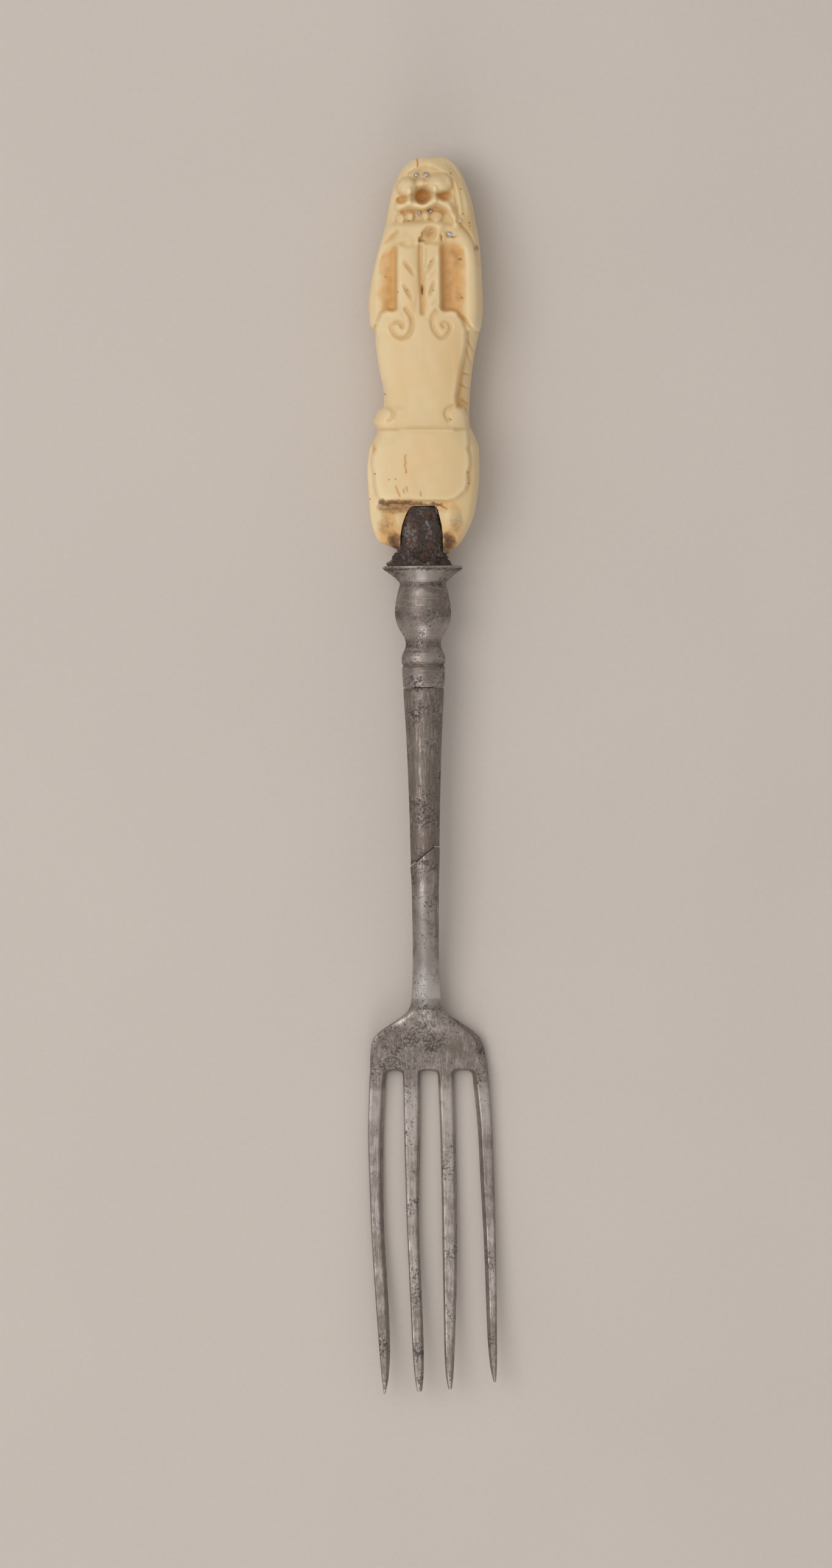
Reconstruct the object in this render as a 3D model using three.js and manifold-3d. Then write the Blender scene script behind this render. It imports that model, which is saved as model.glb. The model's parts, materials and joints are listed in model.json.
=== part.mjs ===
// Travel fork: a carved handle on an iron tang, a turned bolster, and a shank that pulls apart.
// Millimetres. X runs across, Y from the tines to the handle's crown, Z up from the table.
// Pieces are drawn about the tang's axis, with Y measured from the seat on top of the bolster's flange.
import * as THREE from "three";
import { mergeVertices } from "three/addons/utils/BufferGeometryUtils.js";
import Module from "manifold-3d";

const wasm = await Module();
wasm.setup();

// Common sizes
const FLANGE_RADIUS = 6.4; // of the bolster's flange
const FLANGE_LIFT = 0.8; // the flange clears the table
const AXIS_HEIGHT = FLANGE_RADIUS + FLANGE_LIFT; // the axis of tang and shank above the table
const SHANK_LEAN = 0.47; // degrees, bolster and shank lean to the right of the handle
const ROUND_SIDES = 32; // sides of turned pieces
const SMALL_SIDES = 16; // sides of bores, pegs and pins
const BORE_CLEARANCE = 0.08; // round a peg or sleeve in its bore
const PIN_CLEARANCE = 0.06; // round an inlay pin in its hole
const END_CLEARANCE = 0.3; // beyond the end of a peg, spike or sleeve
const THROUGH = 1; // how far a cutting tool runs past the face that it cuts

// Handle: rows from foot to crown of height, left edge, right edge, depth before the axis, inset of the back
const HANDLE_SECTIONS = [
  [2.0, -3.4, 4.0, 2.2, 3.3],
  [2.8, -4.6, 5.0, 3.4, 2.1],
  [4.0, -7.3, 6.1, 4.2, 1],
  [5.6, -8.1, 7.0, 4.7, 0.3],
  [7.9, -8.7, 8.0, 5.0, 0],
  [10.9, -8.95, 8.6, 5.2, 0],
  [15.5, -9.2, 9.0, 5.4, 0],
  [19.0, -8.8, 8.9, 5.5, 0],
  [20.8, -7.9, 8.3, 5.5, 0],
  [21.9, -7.5, 7.8, 5.4, 0],
  [23.2, -8.1, 7.4, 5.4, 0],
  [24.9, -7.5, 7.3, 5.4, 0],
  [25.9, -6.5, 7.35, 5.5, 0],
  [27.8, -6.5, 7.45, 5.6, 0],
  [31.5, -7.2, 7.8, 5.8, 0],
  [35.8, -7.8, 8.5, 5.9, 0],
  [37.5, -7.9, 8.9, 5.9, 0],
  [39.3, -8.8, 9.35, 5.9, 0],
  [42.2, -9.0, 9.55, 5.8, 0],
  [46.2, -8.5, 9.4, 5.6, 0],
  [49.8, -7.7, 9.1, 5.4, 0],
  [55.5, -6.1, 8.25, 5.2, 0.1],
  [58.6, -5.6, 7.75, 5.1, 0.4],
  [61.5, -4.9, 7.0, 4.8, 1.3],
  [64.0, -3.5, 5.75, 3.9, 3.1],
  [65.7, -1.5, 4.35, 2.2, 5.2],
  [66.1, 0.6, 3.5, 0.9, 6.7],
];
const BACK_FLAT = 0.5; // depth cut off the rounded back, which leaves the flat that the handle rests on
const ROLL_DEPTH = 5.4; // front depth at which the roll is full
const HANDLE_SQUARENESS = 2.7; // exponent of the handle's rounded-square sections, 2 is an ellipse
const HANDLE_ROLL = 7; // degrees, the carved front faces a little to the left
const HANDLE_ROWS = 84; // sections in the handle's mesh
const FRONT_POINTS = 28; // points across the front of a section
const BACK_POINTS = 10; // points across the back of a section

// Plaque and waist of the handle
const PLAQUE_BOTTOM = 10.5;
const PLAQUE_TOP = 21.5;
const PLAQUE_LEFT = -8.0;
const PLAQUE_RIGHT = 7.0;
const PLAQUE_RELIEF = 0.9;
const WAIST_GROOVE = 0.7; // width of the groove above the plaque
const WAIST_DEPTH = 0.6;
const WAIST_REACH = 9; // half length of the groove, past both flanks

// Tang: a block in the handle's slot, seen from the front as rows of height, left edge, right edge
const TANG_OUTLINE = [
  [1.6, -3.95, 3.1],
  [4.6, -3.8, 3.05],
  [6.3, -3.5, 2.85],
  [7.8, -3.0, 2.5],
  [8.8, -2.5, 2.25],
  [9.6, -2.1, 2.0],
];
const TANG_DEPTH = 7.4;
const SLOT_CLEARANCE = 0.25; // round the block in its slot
const FLARE_RADIUS = 4.9; // of the tang's foot on the flange
const FLARE_NECK_RADIUS = 3.3;
const FLARE_HEIGHT = 1.8;
const FLANGE_SEAT_GAP = 0.05;
const SPIKE_LENGTH = 34; // above the block
const SPIKE_ROOT_WIDTH = 3.6;
const SPIKE_TIP_WIDTH = 1.8;
const PEG_RADIUS = 2.0; // of the tang's peg in the bolster
const PEG_LENGTH = 7.5;
const CEMENT_RADIUS = 3.1;
const CEMENT_END = 1.5; // cement beyond the spike's tip
const CROSS_PIN_RADIUS = 0.8;
const CROSS_PIN_Y = 4.6;
const CROSS_PIN_SINK = 0.35; // pin ends lie below the handle's flanks

// Bolster: profile rows of distance below the flange's seat, radius
const COLLAR_END = 19.6;
const BOLSTER_PROFILE = [
  [0.0, 6.1],
  [0.25, FLANGE_RADIUS],
  [0.55, FLANGE_RADIUS],
  [1.6, 5.0],
  [2.7, 3.75],
  [3.2, 3.78],
  [4.6, 4.15],
  [6.4, 4.48],
  [7.5, 4.56],
  [8.4, 4.46],
  [9.35, 4.22],
  [10.2, 3.85],
  [10.9, 3.4],
  [11.7, 2.98],
  [12.6, 2.83],
  [13.5, 3.02],
  [14.3, 3.4],
  [15.0, 3.55],
  [15.7, 3.45],
  [16.1, 3.15],
  [16.5, 3.45],
  [COLLAR_END - 0.3, 3.3],
  [COLLAR_END, 3.05],
];

// Shank: profile rows of distance below the collar, radius
const COLLAR_GAP = 0.1; // between collar and shank
const SHANK_LENGTH = 49.8; // from the collar to the shoulder plate
const SHANK_PROFILE = [
  [0, 3.05],
  [0.3, 3.27],
  [4.7, 3.04],
  [11, 2.75],
  [16.4, 2.58],
  [21.7, 2.43],
  [27, 2.34],
  [32.4, 2.22],
  [42.3, 2.12],
  [47, 2.2],
  [SHANK_LENGTH, 2.4],
];
const NECK_STEPS = 12; // sections along the dipping neck
const SHANK_PEG_RADIUS = 1.6; // of the shank's peg in the collar
const SHANK_PEG_LENGTH = 5.5;
const SPIGOT_RADIUS = 1.5; // of the head's spigot in the shank's socket
const SPIGOT_LENGTH = 16; // above the middle of the seam
const SEAM_DISTANCE = 26.8; // the middle of the seam below the collar
const SEAM_ANGLE = 39.6; // degrees across the shank, rising to the right
const SEAM_LAND = 1.2; // height above the seam's middle where its slope ends in a flat land
const SEAM_GAP = 0.15;
const SEAM_REACH = 12; // half width of the cut along the seam

// Head: the neck dips from the shank's axis to the table and flattens into the shoulder plate
const DIP_START = 29.3; // distance below the collar where the neck starts to dip
const PLATE_LENGTH = 11.8; // from the neck to the slots between the tines
const PLATE_THICKNESS = 2.4;
const PLATE_SQUARENESS = 5; // exponent of the plate's sections, 2 is an ellipse
const PLATE_OVERRUN = 2.6; // the plate runs on between slots and tine roots
// Shoulder rows of distance below the neck, left edge, right edge, thickness and squareness
const SHOULDER_SECTIONS = [
  [1.9, -2.9, 2.8, 4.4, 2.3],
  [3.1, -3.9, 4.0, 3.9, 2.8],
  [4.4, -5.6, 5.7, 3.4, 3.4],
  [5.7, -7.4, 7.4, 3.0, 4],
  [7.0, -8.65, 8.6, 2.7, PLATE_SQUARENESS],
  [8.5, -8.85, 9.2, 2.55, PLATE_SQUARENESS],
];
const BELLY_DISTANCE = 5.7; // where the tines touch the table, below the slots
const TIP_RISE = 4.2; // of the longest tine's tip above the belly
const TINE_OVERLAP = 1.3; // tine roots run into the plate
const TINE_TIP_THICKNESS = 1.2;
const TINE_BEVEL = 0.45; // slope on the edges of a tine
const TINE_STEPS = 15; // sections along a tine
const SLOT_END_STEPS = 8; // straight steps in the round end of a slot
// Each tine's length from the slots, and rows of share of that length, left edge, right edge
const TINES = [
  {
    length: 52.6,
    edges: [
      [0, -9.15, -6.8],
      [0.23, -9.55, -7.25],
      [0.42, -9.4, -7.35],
      [0.7, -8.65, -6.75],
      [0.87, -8.1, -6.4],
      [0.95, -7.85, -6.5],
      [1, -7.4, -7.15],
    ],
  },
  {
    length: 52.0,
    edges: [
      [0, -3.85, -1.4],
      [0.43, -3.6, -1.55],
      [0.7, -3.05, -1.25],
      [0.88, -2.7, -0.95],
      [0.96, -2.45, -0.95],
      [1, -1.95, -1.3],
    ],
  },
  {
    length: 51.7,
    edges: [
      [0, 1.8, 3.9],
      [0.43, 2.25, 4.45],
      [0.54, 2.25, 4.6],
      [0.71, 2.35, 4.45],
      [0.88, 2.4, 4.1],
      [0.96, 2.55, 3.95],
      [1, 3.15, 3.65],
    ],
  },
  {
    length: 50.5,
    edges: [
      [0, 7.4, 9.8],
      [0.24, 8.1, 10.35],
      [0.44, 8.5, 10.55],
      [0.55, 8.95, 10.95],
      [0.73, 9.15, 11.0],
      [0.9, 9.5, 11.0],
      [0.97, 9.7, 10.95],
      [1, 10.45, 10.75],
    ],
  },
];

// Silver inlay pins: place on the carved front, half width and half height of the head
const INLAY_PINS = [
  { name: "forehead_pin_left", x: -1.2, y: 62.9, halfWidth: 0.45, halfHeight: 0.4 },
  { name: "forehead_pin_right", x: 0.35, y: 63.0, halfWidth: 0.5, halfHeight: 0.4 },
  { name: "tooth_pin_left", x: -0.65, y: 56.7, halfWidth: 0.45, halfHeight: 0.5 },
  { name: "tooth_pin_right", x: 1.1, y: 57.05, halfWidth: 0.5, halfHeight: 0.45 },
  { name: "collar_pin", x: 4.2, y: 53.3, halfWidth: 0.8, halfHeight: 0.38 },
];
const INLAY_LENGTH = 2.2;
const INLAY_PROUD = 0.12; // heads stand above the carved front

// Blind hole in the middle of the mask
const MASK_HOLE = { x: -0.25, y: 59.3, halfWidth: 1.3, halfHeight: 1.0, depth: 2.4 };

// Carving: swellings and hollows, each an oval with the height of its middle
const LOBES = [
  { x: -2.6, y: 61.3, halfWidth: 1.6, halfHeight: 1.5, height: 1.3 }, // left brow
  { x: 2.6, y: 61.4, halfWidth: 2.2, halfHeight: 1.8, height: 1.3 }, // right brow
  { x: -3.5, y: 59.0, halfWidth: 1.3, halfHeight: 1.1, height: -0.9 }, // left eye
  { x: 3.5, y: 59.4, halfWidth: 1.5, halfHeight: 1.2, height: -1.0 }, // right eye
  { x: -3.6, y: 56.1, halfWidth: 0.8, halfHeight: 0.9, height: 0.5 }, // teeth
  { x: -2.1, y: 56.4, halfWidth: 0.8, halfHeight: 0.9, height: 0.5 },
  { x: 0.3, y: 56.6, halfWidth: 0.9, halfHeight: 0.9, height: 0.5 },
  { x: 2.4, y: 56.5, halfWidth: 0.9, halfHeight: 0.9, height: 0.5 },
  { x: 0.95, y: 53.6, halfWidth: 1.6, halfHeight: 1.7, height: -0.7 }, // hollow below the collar
  { x: -3.7, y: 38.6, halfWidth: 2.3, halfHeight: 2.4, height: 0.6 }, // left volute
  { x: 2.8, y: 38.6, halfWidth: 2.3, halfHeight: 2.4, height: 0.6 }, // right volute
  { x: -6.2, y: 23.9, halfWidth: 2.0, halfHeight: 2.0, height: 0.7 }, // left small scroll
  { x: 5.0, y: 23.9, halfWidth: 2.0, halfHeight: 2.0, height: 0.7 }, // right small scroll
  { x: -4.9, y: 4.0, halfWidth: 1.3, halfHeight: 2.2, height: -0.9 }, // left rust pocket
  { x: 4.2, y: 4.0, halfWidth: 1.2, halfHeight: 2.2, height: -0.9 }, // right rust pocket
];
// Ridges and grooves along lines on the front: half width and height
const RIDGES = [
  {
    // hood
    line: [
      [-5.0, 57.0], [-5.2, 60.0], [-4.3, 62.2], [-2.1, 64.3],
      [0.8, 64.9], [3.6, 63.9], [5.6, 61.2], [6.0, 57.0],
    ],
    halfWidth: 1.3,
    height: 0.7,
  },
  // moustache
  { line: [[-4.1, 57.4], [-0.3, 58.2], [4.5, 56.5]], halfWidth: 0.9, height: 0.8 },
  // collar
  { line: [[-5.8, 54.8], [-1, 55.4], [3.2, 55.6], [6.5, 54.6]], halfWidth: 0.6, height: -0.5 },
  // between the leaf columns
  { line: [[-0.45, 51.3], [-0.45, 40.5]], halfWidth: 0.7, height: -0.9 },
  // left volute
  { line: [[-3.3, 41.2], [-1.6, 38.6], [-3.5, 36.3], [-5.6, 38.3]], halfWidth: 0.8, height: -0.7 },
  // right volute
  { line: [[1.9, 41.2], [0.7, 38.4], [2.8, 36.3], [4.8, 38.3]], halfWidth: 0.8, height: -0.7 },
];
// Raised plates and sunk panels: outline, width of the soft edge and height
const PANELS = [
  // left leaf column
  { outline: [[-4.5, 52.0], [-0.9, 52.0], [-0.8, 41.2], [-4.3, 41.2]], edge: 0.9, height: 0.7 },
  // right leaf column
  { outline: [[-0.1, 52.0], [3.0, 52.0], [3.0, 41.2], [-0.1, 41.2]], edge: 0.9, height: 0.7 },
  // left recess
  { outline: [[-6.6, 50.0], [-4.7, 50.2], [-4.6, 41.6], [-7.4, 41.6]], edge: 0.9, height: -1.7 },
  // right recess
  {
    outline: [[3.2, 51.0], [5.4, 50.8], [6.9, 46.0], [6.6, 41.8], [3.3, 41.6]],
    edge: 0.9,
    height: -1.8,
  },
  {
    // shield
    outline: [
      [-7.4, 40.2], [-5.9, 41.3], [-3.4, 41.2], [-0.4, 39.9], [1.9, 41.1], [4.4, 41.1], [6.4, 39.4],
      [6.8, 37.0], [5.8, 30.7], [5.0, 26.4], [-6.4, 26.2], [-7.0, 30.7], [-7.8, 36.5],
    ],
    edge: 0.8,
    height: 0.6,
  },
  {
    // plaque, with its lower corners cut off
    outline: [
      [PLAQUE_LEFT, PLAQUE_TOP],
      [PLAQUE_RIGHT, PLAQUE_TOP],
      [PLAQUE_RIGHT, PLAQUE_BOTTOM + 2],
      [PLAQUE_RIGHT - 1.7, PLAQUE_BOTTOM + 0.6],
      [PLAQUE_LEFT + 1.2, PLAQUE_BOTTOM],
      [PLAQUE_LEFT, PLAQUE_BOTTOM + 1.5],
    ],
    edge: 0.5,
    height: PLAQUE_RELIEF,
  },
  {
    // groove above the plaque, right across the waist
    outline: [
      [-WAIST_REACH, PLAQUE_TOP + WAIST_GROOVE],
      [WAIST_REACH, PLAQUE_TOP + WAIST_GROOVE],
      [WAIST_REACH, PLAQUE_TOP],
      [-WAIST_REACH, PLAQUE_TOP],
    ],
    edge: 0.5,
    height: -WAIST_DEPTH,
  },
];

function finish(color, roughness, metalness) {
  return new THREE.MeshStandardMaterial({ color, roughness, metalness });
}
const IVORY = finish(0xdcc79a, 0.4, 0);
const RUSTY_IRON = finish(0x4a3226, 0.85, 0.4);
const CEMENT = finish(0x6b4a2c, 0.9, 0);
const STEEL = finish(0x857c72, 0.45, 0.9);
const SILVER = finish(0xc8c5bd, 0.3, 1);

// Closed geometry as a solid for joins and cuts
function solidOf(geometry) {
  const bare = new THREE.BufferGeometry();
  bare.setAttribute("position", geometry.getAttribute("position"));
  bare.setIndex(geometry.index);
  const merged = mergeVertices(bare, 1e-4);
  const corners = merged.index.array;
  const triVerts = [];
  for (let i = 0; i < corners.length; i += 3) {
    const [a, b, c] = corners.subarray(i, i + 3);
    if (a !== b && b !== c && c !== a) triVerts.push(a, b, c);
  }
  const vertProperties = merged.getAttribute("position").array;
  const mesh = new wasm.Mesh({ numProp: 3, vertProperties, triVerts: Uint32Array.from(triVerts) });
  return new wasm.Manifold(mesh);
}

function namedMesh(name, solid, material) {
  const { vertProperties, triVerts } = solid.getMesh();
  const geometry = new THREE.BufferGeometry();
  geometry.setAttribute("position", new THREE.BufferAttribute(Float32Array.from(vertProperties), 3));
  geometry.setIndex(new THREE.BufferAttribute(Uint32Array.from(triVerts), 1));
  geometry.computeVertexNormals();
  const mesh = new THREE.Mesh(geometry, material);
  mesh.name = name;
  return mesh;
}

// Values at a position in rows of [position, value, value, ...], on curves that never overshoot the rows
function valuesAt(rows, position) {
  const last = rows.length - 1;
  let i = 0;
  while (i < last - 1 && position > rows[i + 1][0]) i++;
  const span = rows[i + 1][0] - rows[i][0];
  const t = THREE.MathUtils.clamp((position - rows[i][0]) / span, 0, 1);
  const slope = (row, k) => (rows[row + 1][k] - rows[row][k]) / (rows[row + 1][0] - rows[row][0]);
  const tangent = (row, k) => {
    if (row === 0) return slope(0, k);
    if (row === last) return slope(last - 1, k);
    const before = slope(row - 1, k);
    const after = slope(row, k);
    return before * after <= 0 ? 0 : (2 * before * after) / (before + after);
  };
  return rows[i].slice(1).map((value, column) => {
    const k = column + 1;
    const rise = rows[i + 1][k] - value;
    const ease = t * t * (3 - 2 * t);
    const lead = t * (1 - t) * (1 - t) * span * tangent(i, k);
    const follow = t * t * (t - 1) * span * tangent(i + 1, k);
    return value + rise * ease + lead + follow;
  });
}

// Closed body through rings of equally many points, in order from one flat end to the other
function loft(rings) {
  const count = rings[0].length;
  const points = rings.flat();
  const corners = [];
  for (let ring = 0; ring < rings.length - 1; ring++) {
    for (let k = 0; k < count; k++) {
      const a = ring * count + k;
      const b = ring * count + ((k + 1) % count);
      corners.push(a, b, b + count, a, b + count, a + count);
    }
  }
  const cap = (ring, turned) => {
    const middle = new THREE.Vector3();
    ring.forEach((point) => middle.addScaledVector(point, 1 / count));
    const start = points.indexOf(ring[0]);
    points.push(middle);
    for (let k = 0; k < count; k++) {
      const edge = [start + k, start + ((k + 1) % count)];
      corners.push(points.length - 1, ...(turned ? edge.reverse() : edge));
    }
  };
  cap(rings[0], true);
  cap(rings[rings.length - 1], false);
  const geometry = new THREE.BufferGeometry().setFromPoints(points);
  geometry.setIndex(corners);
  const solid = solidOf(geometry);
  if (solid.volume() > 0) return solid;
  for (let i = 0; i < corners.length; i += 3) [corners[i], corners[i + 1]] = [corners[i + 1], corners[i]];
  geometry.setIndex(corners);
  return solidOf(geometry);
}

// Cylinder or cone between two heights on the Y axis
function round(radius, low, high, sides, topRadius = radius) {
  const body = new THREE.CylinderGeometry(topRadius, radius, high - low, sides);
  return solidOf(body.translate(0, (low + high) / 2, 0));
}

// Body turned about the Y axis from rows of [distance below the seat, radius], closed at both ends
function turned(rows) {
  const profile = rows.map(([distance, radius]) => new THREE.Vector2(radius, -distance));
  profile.unshift(new THREE.Vector2(0, profile[0].y));
  profile.push(new THREE.Vector2(0, profile[profile.length - 1].y));
  return solidOf(new THREE.LatheGeometry(profile.reverse(), ROUND_SIDES));
}

// Outline in X and Y as a slab between two depths
function slab(outline, low, high) {
  const shape = new THREE.Shape(outline.map(([x, y]) => new THREE.Vector2(x, y)));
  const body = new THREE.ExtrudeGeometry(shape, { depth: high - low, bevelEnabled: false });
  return solidOf(body.translate(0, 0, low));
}

// Oval peg along Z between two depths
function ovalPeg({ x, y, halfWidth, halfHeight }, grow, low, high) {
  const peg = new THREE.CylinderGeometry(1, 1, high - low, SMALL_SIDES).rotateX(Math.PI / 2);
  peg.scale(halfWidth + grow, halfHeight + grow, 1).translate(x, y, (low + high) / 2);
  return solidOf(peg);
}

const square = (value) => value * value;

function lobeHeight({ x, y, halfWidth, halfHeight, height }, px, py) {
  const reach = square((px - x) / halfWidth) + square((py - y) / halfHeight);
  return reach < 1 ? height * square(1 - reach) : 0;
}

// Distance from a point to the line between two others
function distanceToSegment(px, py, [ax, ay], [bx, by]) {
  const [dx, dy] = [bx - ax, by - ay];
  const t = THREE.MathUtils.clamp(((px - ax) * dx + (py - ay) * dy) / (dx * dx + dy * dy), 0, 1);
  return Math.hypot(px - ax - t * dx, py - ay - t * dy);
}

function ridgeHeight({ line, halfWidth, height }, px, py) {
  const distances = line.slice(1).map((end, i) => distanceToSegment(px, py, line[i], end));
  const reach = Math.min(...distances) / halfWidth;
  return reach < 1 ? height * square(1 - reach * reach) : 0;
}

function panelHeight({ outline, edge, height }, px, py) {
  let inside = false;
  let nearest = Infinity;
  outline.forEach((end, i) => {
    const start = outline[(i + outline.length - 1) % outline.length];
    nearest = Math.min(nearest, distanceToSegment(px, py, start, end));
    const crosses = end[1] > py !== start[1] > py;
    const share = (py - start[1]) / (end[1] - start[1]);
    if (crosses && px < THREE.MathUtils.lerp(start[0], end[0], share)) inside = !inside;
  });
  return height * THREE.MathUtils.smoothstep(inside ? nearest : -nearest, -edge / 2, edge / 2);
}

function carving(x, y) {
  const sum = (features, heightOf) => features.reduce((total, feature) => total + heightOf(feature, x, y), 0);
  return sum(LOBES, lobeHeight) + sum(RIDGES, ridgeHeight) + sum(PANELS, panelHeight);
}

// Share of a section's depth at a share of its half width
function fullness(across) {
  return Math.pow(1 - Math.pow(Math.abs(across), HANDLE_SQUARENESS), 1 / HANDLE_SQUARENESS);
}

// Depth of the carved front before the axis
function handleFront(x, y) {
  const [left, right, front] = valuesAt(HANDLE_SECTIONS, y);
  const middle = (left + right) / 2;
  const full = fullness(THREE.MathUtils.clamp((x - middle) / (right - middle), -1, 1));
  const carved = THREE.MathUtils.smoothstep(full, 0.2, 0.65);
  const roll = (x - middle) * Math.tan(THREE.MathUtils.degToRad(HANDLE_ROLL));
  return front * full + carved * (carving(x, y) + roll * Math.min(1, front / ROLL_DEPTH));
}

function handleRing(y) {
  const [left, right, , inset] = valuesAt(HANDLE_SECTIONS, y);
  const back = AXIS_HEIGHT + BACK_FLAT - inset;
  const middle = (left + right) / 2;
  const ring = [];
  for (let k = 0; k < FRONT_POINTS; k++) {
    const x = middle + (right - middle) * Math.cos((Math.PI * k) / FRONT_POINTS);
    ring.push(new THREE.Vector3(x, y, k === 0 ? 0 : handleFront(x, y)));
  }
  for (let k = 0; k < BACK_POINTS; k++) {
    const across = -Math.cos((Math.PI * k) / BACK_POINTS);
    const depth = Math.max(-back * fullness(across), -AXIS_HEIGHT);
    ring.push(new THREE.Vector3(middle + (right - middle) * across, y, depth));
  }
  return ring;
}

const tangFoot = TANG_OUTLINE[0][0];
const tangTop = TANG_OUTLINE[TANG_OUTLINE.length - 1][0];
const spikeTip = tangTop + SPIKE_LENGTH;
const cementTop = spikeTip + END_CLEARANCE + CEMENT_END;

// The tang's block from the front, grown all round by a clearance and with its foot at a given height
function tangOutline(grow, foot) {
  const left = TANG_OUTLINE.map(([y, x], i) => [x - grow, i === 0 ? foot : y + grow]);
  const right = TANG_OUTLINE.map(([y, , x], i) => [x + grow, i === 0 ? foot : y + grow]);
  return [...right, ...left.reverse()];
}

function spike(grow, low, high) {
  const wide = (SPIKE_ROOT_WIDTH / 2 + grow) * Math.SQRT2;
  const narrow = (SPIKE_TIP_WIDTH / 2 + grow) * Math.SQRT2;
  const taper = new THREE.CylinderGeometry(narrow, wide, high - low, 4).rotateY(Math.PI / 4);
  return solidOf(taper.translate(0, (low + high) / 2, 0));
}

function crossPin(radius, left, right) {
  const pin = new THREE.CylinderGeometry(radius, radius, right - left, SMALL_SIDES).rotateZ(Math.PI / 2);
  return solidOf(pin.translate((left + right) / 2, CROSS_PIN_Y, 0));
}

// Left and right ends of the cross pin's hole, where its lower side leaves the handle
const pinFlanks = () => valuesAt(HANDLE_SECTIONS, CROSS_PIN_Y - CROSS_PIN_RADIUS).slice(0, 2);

const inlayTop = (pin) => handleFront(pin.x, pin.y) + INLAY_PROUD;

function ivoryHandle() {
  const foot = HANDLE_SECTIONS[0][0];
  const crown = HANDLE_SECTIONS[HANDLE_SECTIONS.length - 1][0];
  const step = (crown - foot) / (HANDLE_ROWS - 1);
  const heights = Array.from({ length: HANDLE_ROWS }, (_, i) => foot + step * i);
  const [left, right] = pinFlanks();
  const front = AXIS_HEIGHT * 2;
  const holeFloor = handleFront(MASK_HOLE.x, MASK_HOLE.y) - MASK_HOLE.depth;
  let handle = loft(heights.map(handleRing))
    .subtract(slab(tangOutline(SLOT_CLEARANCE, -THROUGH), -TANG_DEPTH / 2 - SLOT_CLEARANCE, front))
    .subtract(round(CEMENT_RADIUS + BORE_CLEARANCE, tangFoot, cementTop + END_CLEARANCE, SMALL_SIDES))
    .subtract(crossPin(CROSS_PIN_RADIUS + BORE_CLEARANCE, left - AXIS_HEIGHT, right + AXIS_HEIGHT))
    .subtract(ovalPeg(MASK_HOLE, 0, holeFloor, front));
  for (const pin of INLAY_PINS) {
    const floor = inlayTop(pin) - INLAY_LENGTH - PIN_CLEARANCE;
    handle = handle.subtract(ovalPeg(pin, PIN_CLEARANCE, floor, front));
  }
  return namedMesh("ivory_handle", handle, IVORY);
}

function tang() {
  const block = slab(tangOutline(0, tangFoot), -TANG_DEPTH / 2, TANG_DEPTH / 2)
    .add(round(FLARE_RADIUS, FLANGE_SEAT_GAP, FLARE_HEIGHT, ROUND_SIDES, FLARE_NECK_RADIUS))
    .add(spike(0, tangTop - THROUGH, spikeTip))
    .add(round(PEG_RADIUS, -PEG_LENGTH, tangFoot, SMALL_SIDES));
  const [, left, right] = TANG_OUTLINE[0];
  const hole = crossPin(CROSS_PIN_RADIUS + BORE_CLEARANCE, left - THROUGH, right + THROUGH);
  return namedMesh("tang", block.subtract(hole), RUSTY_IRON);
}

function tangCement() {
  const sleeve = round(CEMENT_RADIUS, tangTop + END_CLEARANCE, cementTop, SMALL_SIDES);
  const bed = spike(BORE_CLEARANCE, tangTop - THROUGH, spikeTip + END_CLEARANCE);
  return namedMesh("tang_cement", sleeve.subtract(bed), CEMENT);
}

function tangCrossPin() {
  const [left, right] = pinFlanks();
  const pin = crossPin(CROSS_PIN_RADIUS, left + CROSS_PIN_SINK, right - CROSS_PIN_SINK);
  return namedMesh("tang_cross_pin", pin, RUSTY_IRON);
}

function inlayPin(pin) {
  const top = inlayTop(pin);
  return namedMesh(pin.name, ovalPeg(pin, 0, top - INLAY_LENGTH, top), SILVER);
}

function bolster() {
  const shankBore = -COLLAR_END - COLLAR_GAP + SHANK_PEG_LENGTH + END_CLEARANCE;
  const body = turned(BOLSTER_PROFILE)
    .subtract(round(PEG_RADIUS + BORE_CLEARANCE, -PEG_LENGTH - END_CLEARANCE, THROUGH, SMALL_SIDES))
    .subtract(round(SHANK_PEG_RADIUS + BORE_CLEARANCE, -COLLAR_END - THROUGH, shankBore, SMALL_SIDES));
  return namedMesh("bolster", body, STEEL);
}

const shankRadius = (distance) => valuesAt(SHANK_PROFILE, distance)[0];
const slotRoot = SHANK_LENGTH + PLATE_LENGTH;
const longestTine = Math.max(...TINES.map(({ length }) => length));

// Everything below the seam, which runs across the shank on a slope and ends in a flat land
function belowSeam(gap) {
  const slope = Math.tan(THREE.MathUtils.degToRad(SEAM_ANGLE));
  const middle = -SEAM_DISTANCE - gap;
  const end = -slotRoot - longestTine;
  const outline = [
    [-SEAM_REACH, middle - SEAM_REACH * slope],
    [-SEAM_REACH, end],
    [SEAM_REACH, end],
    [SEAM_REACH, middle + SEAM_LAND],
    [SEAM_LAND / slope, middle + SEAM_LAND],
  ];
  return slab(outline, -AXIS_HEIGHT - THROUGH, AXIS_HEIGHT);
}

function upperShank() {
  const rows = SHANK_PROFILE.filter(([distance]) => distance < SHANK_LENGTH);
  const socket = -SEAM_DISTANCE + SPIGOT_LENGTH + END_CLEARANCE;
  const body = turned(rows)
    .add(round(SHANK_PEG_RADIUS, -THROUGH, SHANK_PEG_LENGTH, SMALL_SIDES))
    .subtract(belowSeam(0))
    .subtract(round(SPIGOT_RADIUS + BORE_CLEARANCE, -SHANK_LENGTH, socket, SMALL_SIDES));
  return namedMesh("upper_shank", body, STEEL);
}

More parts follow.
